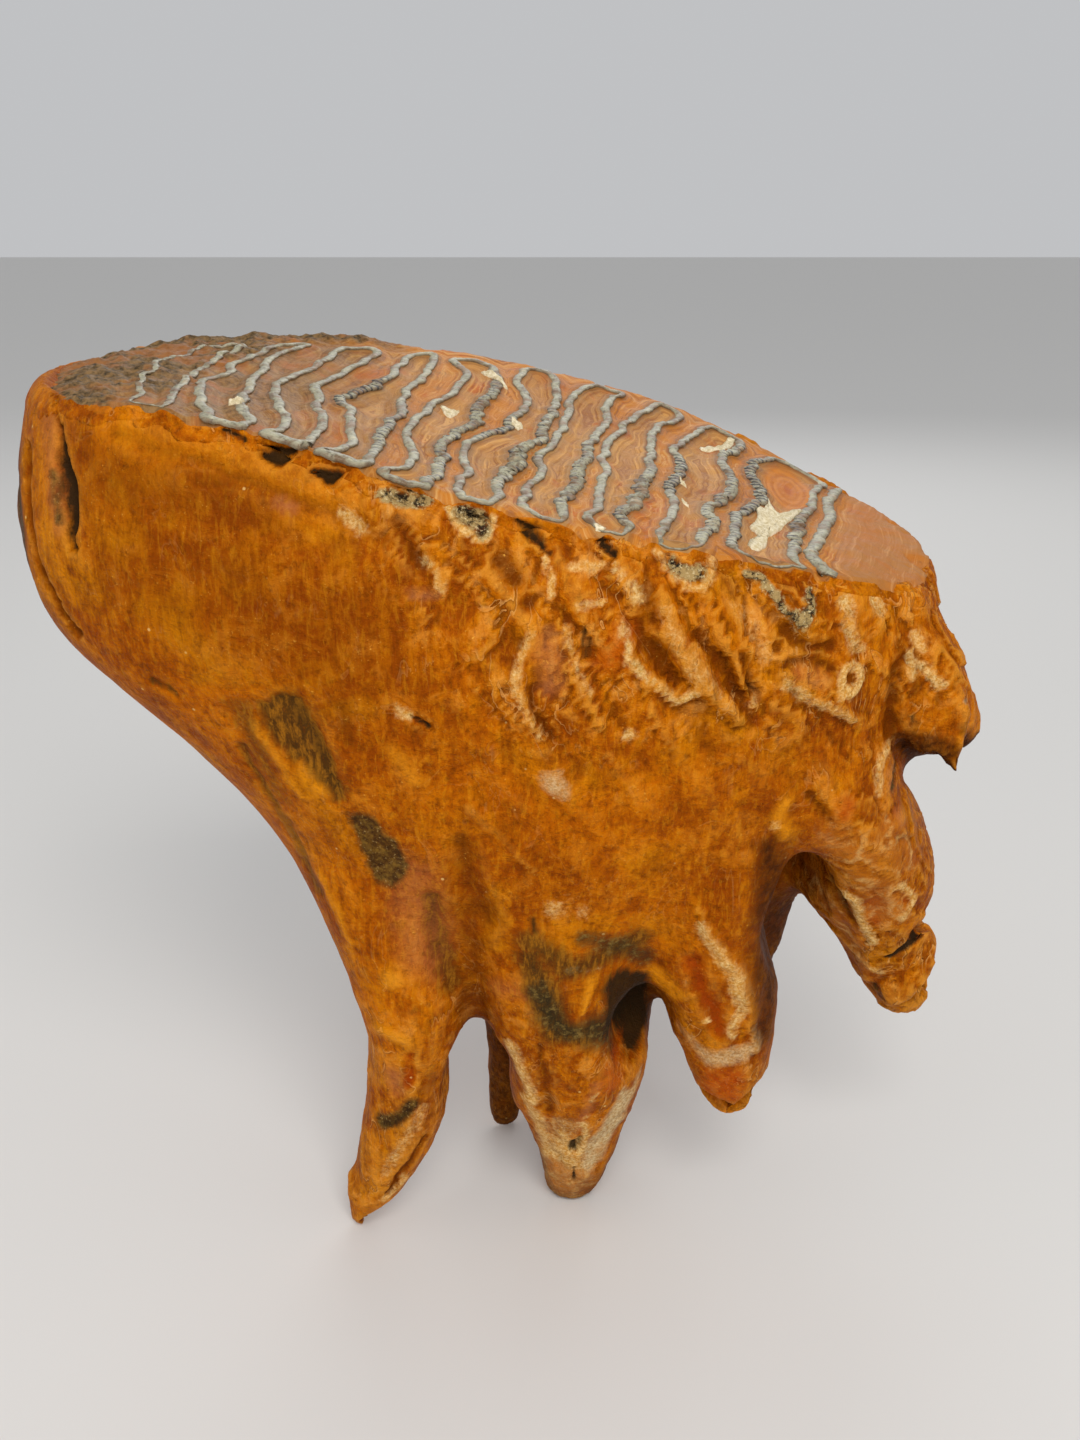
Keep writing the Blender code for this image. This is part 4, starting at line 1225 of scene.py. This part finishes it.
# Crust at the back end and along the far rim there, bare ground at the front
ragged_by = noise_field(face_points, 8.0, 3, 7.0)
crust = ease(-plan[:, 0] + 0.30 * plan[:, 1] + ragged_by * 9, 46.0, 56.0)
far_rim = ease(reach + 0.06 * ragged_by, 0.84, 0.92) * ease(-plan[:, 0], 14.0, 30.0)
crust = np.maximum(crust, far_rim * (plan[:, 1] > 6))
bare = plan[:, 0] - 0.25 * plan[:, 1] + noise_field(face_points, 12.0, 2, 8.0) * 2
bare = ease(bare, 59.0, 64.0)
grime = 0.7 * ease(-plan[:, 0], 8.0, 44.0)
eye_reach = np.hypot((plan[:, 0] - EYE_PLACE[0] - 0.10 * (plan[:, 1] - 11)) / EYE_HALF[0],
                     (plan[:, 1] - EYE_PLACE[1]) / EYE_HALF[1])

# Hollows between the ridges, fine grooves along them, and chips in the rim
hollow = ease(gap, 0.5, 3.2) * (1 - 0.7 * crust) * (1 - bare)
unevenness = noise_field(face_points, 3.0, 3, 9.0) * (0.14 + 0.75 * crust + 0.05 * bare)
unevenness += noise_field(face_points, 14.0, 2, 10.0) * 0.45
groove_place = np.column_stack((gap * 1.3, plan[:, 1] * 0.10, plan[:, 0] * 0.03))
unevenness += noise_field(groove_place, 1.0) * 0.16 * ease(gap, 0.8, 1.6) * (1 - crust)
face_points[:, 2] += (FACE_PROUD - FACE_HOLLOW * (0.75 + 0.35 * in_loop) * hollow
                      - RIM_DROP * ease(reach, 0.985, 1.0) + unevenness)
rim_chips = noise_field(face_points, 5.0, 2, 11.0) + (reach - 0.985) * 14.0
face_points[:, 2] -= CHIP_DEPTH * ease(rim_chips, 0.05, 0.45) * ease(reach, 0.90, 0.97)

faces = []
for row in range(FACE_ROWS - 1):
    start = row * FACE_COLUMNS
    faces.extend((k, k + 1, k + 1 + FACE_COLUMNS, k + FACE_COLUMNS)
                 for k in range(start, start + FACE_COLUMNS - 1))
last = (FACE_ROWS - 1) * FACE_COLUMNS
border = (list(range(FACE_COLUMNS))
          + [(r + 1) * FACE_COLUMNS - 1 for r in range(1, FACE_ROWS - 1)]
          + list(range(last + FACE_COLUMNS - 1, last - 1, -1))
          + [r * FACE_COLUMNS for r in range(FACE_ROWS - 2, 0, -1)])
grid_faces = len(faces)

# The slab's edge runs down from the rim and flares out to meet the body's skin
skin_tree = BVHTree.FromObject(body, bpy.context.evaluated_depsgraph_get())
rim_points = face_points[border]
outward = rim_points[:, :2] - FACE_MIDDLE
outward /= np.linalg.norm(outward, axis=1)[:, None]
all_points = [face_points]
upper = border
base = len(face_points)
for number, (depth, stand_off) in enumerate(EDGE_RINGS):
    ring_points = rim_points - (0.0, 0.0, depth)
    least = -0.3 if stand_off > 0 else -1.6
    for k, (x, y, z) in enumerate(ring_points.tolist()):
        place, ahead = Vector((x, y, z)), Vector((*outward[k], 0.0))
        from_outside = (place + ahead * EDGE_SEARCH) * MM
        found = skin_tree.ray_cast(from_outside, -ahead, 12.0 * MM)[0]
        flare = ((Vector(found) / MM - place).dot(ahead) if found else 0.0) + stand_off
        ring_points[k, :2] += outward[k] * min(max(flare, least), EDGE_REACH)
    all_points.append(ring_points)
    start = base + number * len(border)
    lower = list(range(start, start + len(border)))
    for k in range(len(border)):
        nxt = (k + 1) % len(border)
        faces.append((upper[nxt], upper[k], lower[k], lower[nxt]))
    upper = lower
faces.append(tuple(reversed(upper)))
face_mesh = bpy.data.meshes.new("chewing_face")
face_mesh.from_pydata((np.vstack(all_points) * MM).tolist(), [], faces)
face_mesh.update()

edge_skin = Carving(face_mesh)
on_edge = np.arange(len(edge_skin.points)) >= base
edge_skin.stroke(RIM_STROKES, within=on_edge, share=EDGE_SHARE)
edge_skin.stains["proud"] = np.full(len(on_edge), 0.5)
edge_skin.stains["rough"] = np.full(len(on_edge), 0.6)
edge_skin.finish()
for name, values in (("gap", gap), ("in_loop", in_loop), ("crust", np.maximum(crust, grime)),
                     ("bare", bare), ("eye", ease(1.15 - eye_reach, 0.0, 1.15))):
    write_mask(face_mesh, name, np.concatenate((values, np.zeros(len(on_edge) - base))))
face_mesh.shade_smooth()
face = new_object("chewing_face", face_mesh)

dentine = Paint("worn_dentine")
blotch = dentine.grain(9.0, 4.0, 0.6, 0.5)
freckle = dentine.grain(1.1, 4.0, 0.7)
from_band = dentine.mask("gap")
eye = dentine.mask("eye")

# Growth lines that keep their distance from the enamel
plan_place = {"Vector": dentine.stretched((1 / MM, 1 / MM, 1 / MM))}
plan_place = dentine.add("SeparateXYZ", plan_place).outputs
line_place = {"X": dentine.sums("MULTIPLY", from_band, 1.5),
              "Y": dentine.sums("MULTIPLY", plan_place["Y"], 0.07),
              "Z": dentine.sums("MULTIPLY", plan_place["X"], 0.03)}
line_place = dentine.add("CombineXYZ", line_place).outputs["Vector"]
lines = {"Vector": line_place, "Scale": 1.0, "Detail": 4.0, "Roughness": 0.65}
lines = dentine.add("TexNoise", lines).outputs["Fac"]

dentine.colour = dentine.blend(dentine.mask("in_loop"), (190, 118, 40), (182, 128, 70))
for layer in (
    (blotch, 0.56, 0.68, 0.75, (184, 90, 22)),
    (blotch, 0.44, 0.32, 0.6, (166, 124, 78)),
    (lines, 0.52, 0.64, 0.75, (214, 160, 92)),
    (lines, 0.48, 0.36, 0.75, (142, 84, 40)),
    (freckle, 0.60, 0.74, 0.5, (220, 170, 120)),
    (freckle, 0.40, 0.28, 0.5, (120, 70, 44)),
    # painted shade on the dentine beside the enamel
    (from_band, 1.7, 0.9, 0.45, (104, 76, 50)),
):
    dentine.lay(*layer)
crust_colour = dentine.mix(freckle, 0.36, 0.60, (58, 46, 26), (134, 104, 66))
crust_colour = dentine.mix(blotch, 0.50, 0.62, crust_colour, (160, 100, 50), 0.7)
dentine.cover(dentine.mask("crust"), crust_colour)
bare_colour = dentine.mix(blotch, 0.42, 0.62, (174, 114, 54), (180, 108, 40))
bare_colour = dentine.mix(lines, 0.56, 0.66, bare_colour, (212, 154, 96), 0.5)
bare_colour = dentine.mix(freckle, 0.42, 0.30, bare_colour, (138, 84, 40), 0.5)
dentine.cover(dentine.mask("bare"), bare_colour)
eye_rings = dentine.sums("ADD", dentine.sums("MULTIPLY", eye, 19.0),
                         dentine.sums("MULTIPLY", freckle, 5.0))
eye_colour = dentine.mix(dentine.sums("SINE", eye_rings), -1.0, 1.0, (184, 104, 26),
                         (202, 124, 42))
eye_colour = dentine.mix(eye, 0.84, 0.98, eye_colour, (168, 78, 36), 0.7)
dentine.lay(eye, 0.04, 0.22, 0.9, eye_colour)
relief = dentine.sums("ADD", dentine.sums("MULTIPLY", lines, 0.8),
                      dentine.sums("MULTIPLY", freckle, 0.5))
dentine.finish(0.5, 0.12, relief, 0.5, 0.6)

face_mesh.materials.append(dentine.material)
face_mesh.materials.append(cementum.material)
for polygon in face_mesh.polygons[grid_faces:]:
    polygon.material_index = 1
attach(face, "root")
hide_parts("mammoth_molar")


# ---------------------------------------------------------------------------
# The enamel: the edges of hard, crimped plates that stand a little proud of
# the ground face. Each plate shows as one long closed loop across the tooth,
# laid on the face and swept by Geometry Nodes along the lines worked out above.

ENAMEL_SIDES = 10          # how many sides the swept band has
CRIMP_TURN = 2.2           # how far a crimp turns as it crosses the band
WOBBLE_TURN = 5.0          # how far noise turns it
THINNEST = 0.50            # the band's thickness without its swellings
SWELLING = 1.1             # how much noise swells it
CRIMP_SWELLING = 0.38      # how much thicker it is where it is crimped
BEADING = 0.12             # how much it swells at each crimp
FINE_BUMP = 0.38 * MM
CRIMP_BUMP = 0.13 * MM

enamel_paint = Paint("grey_enamel")
cloud = enamel_paint.grain(3.5, 3.0, 0.6)
speck = enamel_paint.grain(0.8, 3.0, 0.7)
dirt_and_shade = enamel_paint.grain(5.0, 4.0, 0.7, 0.8)
side = enamel_paint.mask("side")
phase = enamel_paint.sums("MULTIPLY", enamel_paint.mask("along"), math.tau / CRIMP_PITCH)
for part, share in ((side, CRIMP_TURN), (speck, 3.0)):
    phase = enamel_paint.sums("ADD", phase, enamel_paint.sums("MULTIPLY", part, share))
bars = enamel_paint.span(enamel_paint.sums("SINE", phase), -0.20, -0.75)
crimped_here = enamel_paint.span(enamel_paint.mask("crimp"), 0.1, 0.6, 0.0, 0.85)
bars = enamel_paint.sums("MULTIPLY", bars, crimped_here)
rims = enamel_paint.span(enamel_paint.sums("ABSOLUTE", side), 0.66, 0.98)
enamel_paint.colour = enamel_paint.mix(cloud, 0.36, 0.64, (130, 127, 106), (176, 172, 146))
for layer in (
    (speck, 0.56, 0.72, 0.6, (208, 196, 160)),
    (speck, 0.48, 0.34, 0.8, (88, 76, 66)),
    (cloud, 0.46, 0.36, 0.65, (146, 112, 84)),
):
    enamel_paint.lay(*layer)
# painted shade along the band's sides
enamel_paint.cover(enamel_paint.sums("MULTIPLY", rims, 0.55), (108, 82, 58))
enamel_paint.lay(dirt_and_shade, 0.52, 0.64, 0.8, (104, 76, 50))
enamel_paint.lay(dirt_and_shade, 0.40, 0.32, 0.6, (186, 166, 132))
enamel_paint.cover(bars, (48, 44, 46))
enamel_paint.finish(0.38, 0.25, speck, 0.35, 0.3)

# The inputs of the tree that lays the enamel, each with its kind and value
GIVEN = (
    ("Face", "Object", face),
    ("Step", "Float", 0.36 * MM),
    ("Half Width", "Float", 0.86 * MM),
    ("Half Height", "Float", 0.36 * MM),
    ("Crimp Pitch", "Float", CRIMP_PITCH),
    ("Seed", "Float", 5.0),
    ("Material", "Material", enamel_paint.material),
)
group = bpy.data.node_groups.new("lay_enamel_on_face", "GeometryNodeTree")
for way in ("INPUT", "OUTPUT"):
    group.interface.new_socket("Geometry", in_out=way, socket_type="NodeSocketGeometry")
sockets = []
for name, kind, _ in GIVEN:
    socket = group.interface.new_socket(name, in_out="INPUT", socket_type="NodeSocket" + kind)
    sockets.append(socket.identifier)
given = group.nodes.new("NodeGroupInput").outputs


def step(kind, inputs, **settings):
    """The first output of a new node of the tree that lays the enamel."""
    return add_node(group, "GeometryNode" + kind, inputs, **settings).outputs[0]


def named(name):
    kind = "GeometryNodeInputNamedAttribute"
    return add_node(group, kind, {"Name": name}).outputs["Attribute"]


def store(geometry, name, value):
    inputs = {"Geometry": geometry, "Name": name, "Value": value}
    return step("StoreNamedAttribute", inputs, data_type="FLOAT", domain="POINT")


def tree_noise(size):
    inputs = {"Vector": placed, "W": given["Seed"], "Scale": 1.0 / (size * MM), "Detail": 2.0}
    return add_node(group, "ShaderNodeTexNoise", inputs, noise_dimensions="4D").outputs["Fac"]


# Lay the lines on the face, at even steps, and keep how far along each one is
curve = step("ResampleCurve", {"Curve": step("MeshToCurve", {"Mesh": given["Geometry"]}),
                               "Length": given["Step"]}, mode="LENGTH")
placed = step("InputPosition", {})
along_line = add_node(group, "GeometryNodeSplineParameter", {}).outputs["Length"]
above = add_node(group, "ShaderNodeVectorMath", {0: placed, 1: (0.0, 0.0, RAY_TOP)},
                 operation="ADD").outputs[0]
ground = add_node(group, "GeometryNodeObjectInfo", {"Object": given["Face"]},
                  transform_space="RELATIVE").outputs["Geometry"]
dropped = {"Target Geometry": ground, "Source Position": above,
           "Ray Direction": (0.0, 0.0, -1.0), "Ray Length": 1.0}
dropped = add_node(group, "GeometryNodeRaycast", dropped).outputs["Hit Position"]
laid = step("SetPosition", {"Geometry": store(curve, "along", along_line), "Position": dropped})
laid = step("SetCurveNormal", {"Curve": laid}, mode="Z_UP")

# Sweep an oval along them, swollen here and there and beaded by the crimps
ring = step("CurvePrimitiveCircle", {"Resolution": ENAMEL_SIDES, "Radius": 1.0})
ring_x = add_node(group, "ShaderNodeSeparateXYZ", {0: placed}).outputs[0]
oval = {"X": given["Half Width"], "Y": given["Half Height"], "Z": 1.0}
oval = add_node(group, "ShaderNodeCombineXYZ", oval).outputs[0]
oval = step("Transform", {"Geometry": store(ring, "side", ring_x), "Scale": oval})
wobble = tree_noise(1.6)
crimp = named("crimp")
crimps_passed = maths(group, "DIVIDE", along_line, given["Crimp Pitch"])
wave = maths(group, "SINE", maths(group, "MULTIPLY", crimps_passed, math.tau), 0.0)
swell = maths(group, "MULTIPLY_ADD", wobble, SWELLING, THINNEST)
swell = maths(group, "ADD", swell, maths(group, "MULTIPLY", crimp, CRIMP_SWELLING))
swell = maths(group, "MULTIPLY", swell, named("stout"))
beads = maths(group, "MULTIPLY", maths(group, "MULTIPLY", wave, crimp), BEADING)
tube = step("CurveToMesh", {"Curve": laid, "Profile Curve": oval,
                            "Scale": maths(group, "ADD", swell, beads), "Fill Caps": True})

# Roughen it and press slanting crimps into it
rough_push = maths(group, "MULTIPLY", maths(group, "SUBTRACT", tree_noise(0.9), 0.5), FINE_BUMP)
turns_on = maths(group, "DIVIDE", named("along"), given["Crimp Pitch"])
turns_on = maths(group, "MULTIPLY", turns_on, math.tau)
turns_on = maths(group, "MULTIPLY_ADD", wobble, WOBBLE_TURN, turns_on)
turns_on = maths(group, "ADD", turns_on, maths(group, "MULTIPLY", named("side"), CRIMP_TURN))
crimp_push = maths(group, "MULTIPLY", maths(group, "SINE", turns_on, 0.0), crimp)
crimp_push = maths(group, "MULTIPLY", crimp_push, CRIMP_BUMP)
push = maths(group, "ADD", rough_push, crimp_push)
push = add_node(group, "ShaderNodeVectorMath", {0: step("InputNormal", {}), "Scale": push},
                operation="SCALE").outputs[0]
worn = step("SetPosition", {"Geometry": tube, "Offset": push})
worn = step("SetShadeSmooth", {"Geometry": worn, "Shade Smooth": True})
worn = step("RealizeInstances", {"Geometry": worn})
worn = step("SetMaterial", {"Geometry": worn, "Material": given["Material"]})
group.links.new(worn, group.nodes.new("NodeGroupOutput").inputs[0])

wire_mesh = bpy.data.meshes.new("enamel_bands")
points, edges = [], []
for line, closed in bands:
    first = len(points)
    points.extend((x * MM, y * MM, 0.0) for x, y, _ in line.tolist())
    edges.extend((k, k + 1) for k in range(first, len(points) - 1))
    if closed:
        edges.append((len(points) - 1, first))
wire_mesh.from_pydata(points, edges, [])
write_mask(wire_mesh, "crimp", np.concatenate([line[:, 2] for line, _ in bands]))
write_mask(wire_mesh, "stout", np.concatenate(stoutness))
enamel = new_object("enamel_bands", wire_mesh)
laying = enamel.modifiers.new("lay_enamel", "NODES")
laying.node_group = group
for socket, (_, _, value) in zip(sockets, GIVEN):
    laying[socket] = value
settle(enamel)

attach(enamel, "root")
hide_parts("mammoth_molar")


# ---------------------------------------------------------------------------
# Chalky chips: flakes and threads of pale, crumbly sediment stuck in the worn
# face, thin closed crusts laid over the dentine and the enamel.

# Each chip: its outline in x and y on the face, and how thick it is
CHIPS = (
    (((-43.4, -23), (-41.4, -23.4), (-41, -20.4), (-42.6, -19.4), (-43.8, -21)), 0.9),
    (((-11.4, 5.6), (-9.8, 6.4), (-7.8, 6.8), (-8.6, 4.6), (-9.4, 2.4), (-10.6, 3.4)), 0.8),
    (((1.4, 4.4), (3, 5), (3.6, 3.4), (2.6, 1.4), (1.4, 2.4)), 0.8),
    (((-5.2, 29), (-3.6, 28.4), (-1.4, 25), (0.9, 21.4), (0.2, 20.8), (-2.2, 24), (-4.6, 27)), 0.6),
    (((30.8, -5), (31.8, -5), (32, -7), (30.8, -7)), 0.6),
    (((30.4, -14), (31.4, -14), (31.6, -16), (30.6, -15.8)), 0.6),
    (((14.8, -37.2), (16.8, -37), (16.4, -38.4), (15, -38.2)), 0.5),
    (((36.4, 19), (38.4, 18), (41, 19.4), (43.4, 23.6), (44.8, 29), (43.6, 29.4), (41.6, 24.6),
      (38.4, 21.4)), 0.7),
    (((40, -28), (41.4, -26.4), (42.6, -21), (41.4, -18.6), (43.4, -12.6), (44.2, -7.4),
      (46.6, -4), (47, -1.6), (48.4, -5), (51, -2.6), (53.8, -0.6), (52.4, -4), (50.2, -8.8),
      (48.8, -12), (46.6, -16.4), (44.4, -20), (43.6, -25), (41.6, -28.6)), 1.1),
)
CHIP_RINGS = 7
CHIP_SIDES = 56
CHIP_SKIRT = 0.35          # how far a chip's edge goes down into the face
CHIP_ROOT = 1.6            # and its closed underside

laid_on = [BVHTree.FromPolygons([v.co for v in obj.data.vertices],
                                [tuple(p.vertices) for p in obj.data.polygons])
           for obj in (face, enamel)]


def on_ground(x, y, rise):
    """A point over the face, or over the enamel on it, by some mm."""
    heights = [drop_onto(tree, x, y) for tree in laid_on]
    heights = [found for found in heights if found is not None]
    return x, y, (max(heights) if heights else 140.0) + rise


points, faces = [], []
for number, (outline, thickness) in enumerate(CHIPS):
    rim_line = np.array(outline, float)
    middle = rim_line.mean(axis=0)
    rim_line = np.vstack((rim_line, rim_line[:1]))
    lengths = np.cumsum(np.linalg.norm(np.diff(rim_line, axis=0), axis=1))
    lengths = np.concatenate(((0.0,), lengths))
    walk = np.linspace(0.0, lengths[-1], CHIP_SIDES, endpoint=False)
    ring = np.column_stack([np.interp(walk, lengths, rim_line[:, axis]) for axis in (0, 1)])
    ring_place = np.column_stack((ring, np.full(CHIP_SIDES, number * 7.0)))
    ragged_by = noise_field(ring_place, 0.9, 2, 3.0)
    ring = middle + (ring - middle) * (1.0 + 0.10 * ragged_by)[:, None]
    first = len(points)
    for turn in range(1, CHIP_RINGS + 1):
        for x, y in (middle + (ring - middle) * (turn / CHIP_RINGS)).tolist():
            crumbling = noise.fractal((x * 0.9, y * 0.9, number), 1.0, 2.0, 3)
            rise = thickness * (0.55 + 0.5 * crumbling)
            points.append(on_ground(x, y, rise if turn < CHIP_RINGS else -CHIP_SKIRT))
    top = len(points)
    points.append(on_ground(*middle, thickness * 0.6))
    points.append(on_ground(*middle, -CHIP_ROOT))
    outer = first + (CHIP_RINGS - 1) * CHIP_SIDES
    for k in range(CHIP_SIDES):
        nxt = (k + 1) % CHIP_SIDES
        faces.append((top, first + k, first + nxt))
        for here in range(first, outer, CHIP_SIDES):
            there = here + CHIP_SIDES
            faces.append((here + k, there + k, there + nxt, here + nxt))
        faces.append((outer + nxt, outer + k, top + 1))

chip_mesh = bpy.data.meshes.new("chalk_chips")
chip_mesh.from_pydata([tuple(c * MM for c in p) for p in points], [], faces)
bm = bmesh.new()
bm.from_mesh(chip_mesh)
bmesh.ops.recalc_face_normals(bm, faces=bm.faces)
bm.to_mesh(chip_mesh)
bm.free()
chip_mesh.shade_smooth()
chips = new_object("chalk_chips", chip_mesh)

chalky = Paint("pale_sediment")
crumb = chalky.grain(0.7, 4.0, 0.7)
chalky.colour = chalky.mix(crumb, 0.40, 0.62, (204, 186, 144), (240, 228, 198))
chalky.finish(0.85, 0.15, crumb, 0.6, 0.4)

chip_mesh.materials.append(chalky.material)
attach(chips, "root")
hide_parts("mammoth_molar")
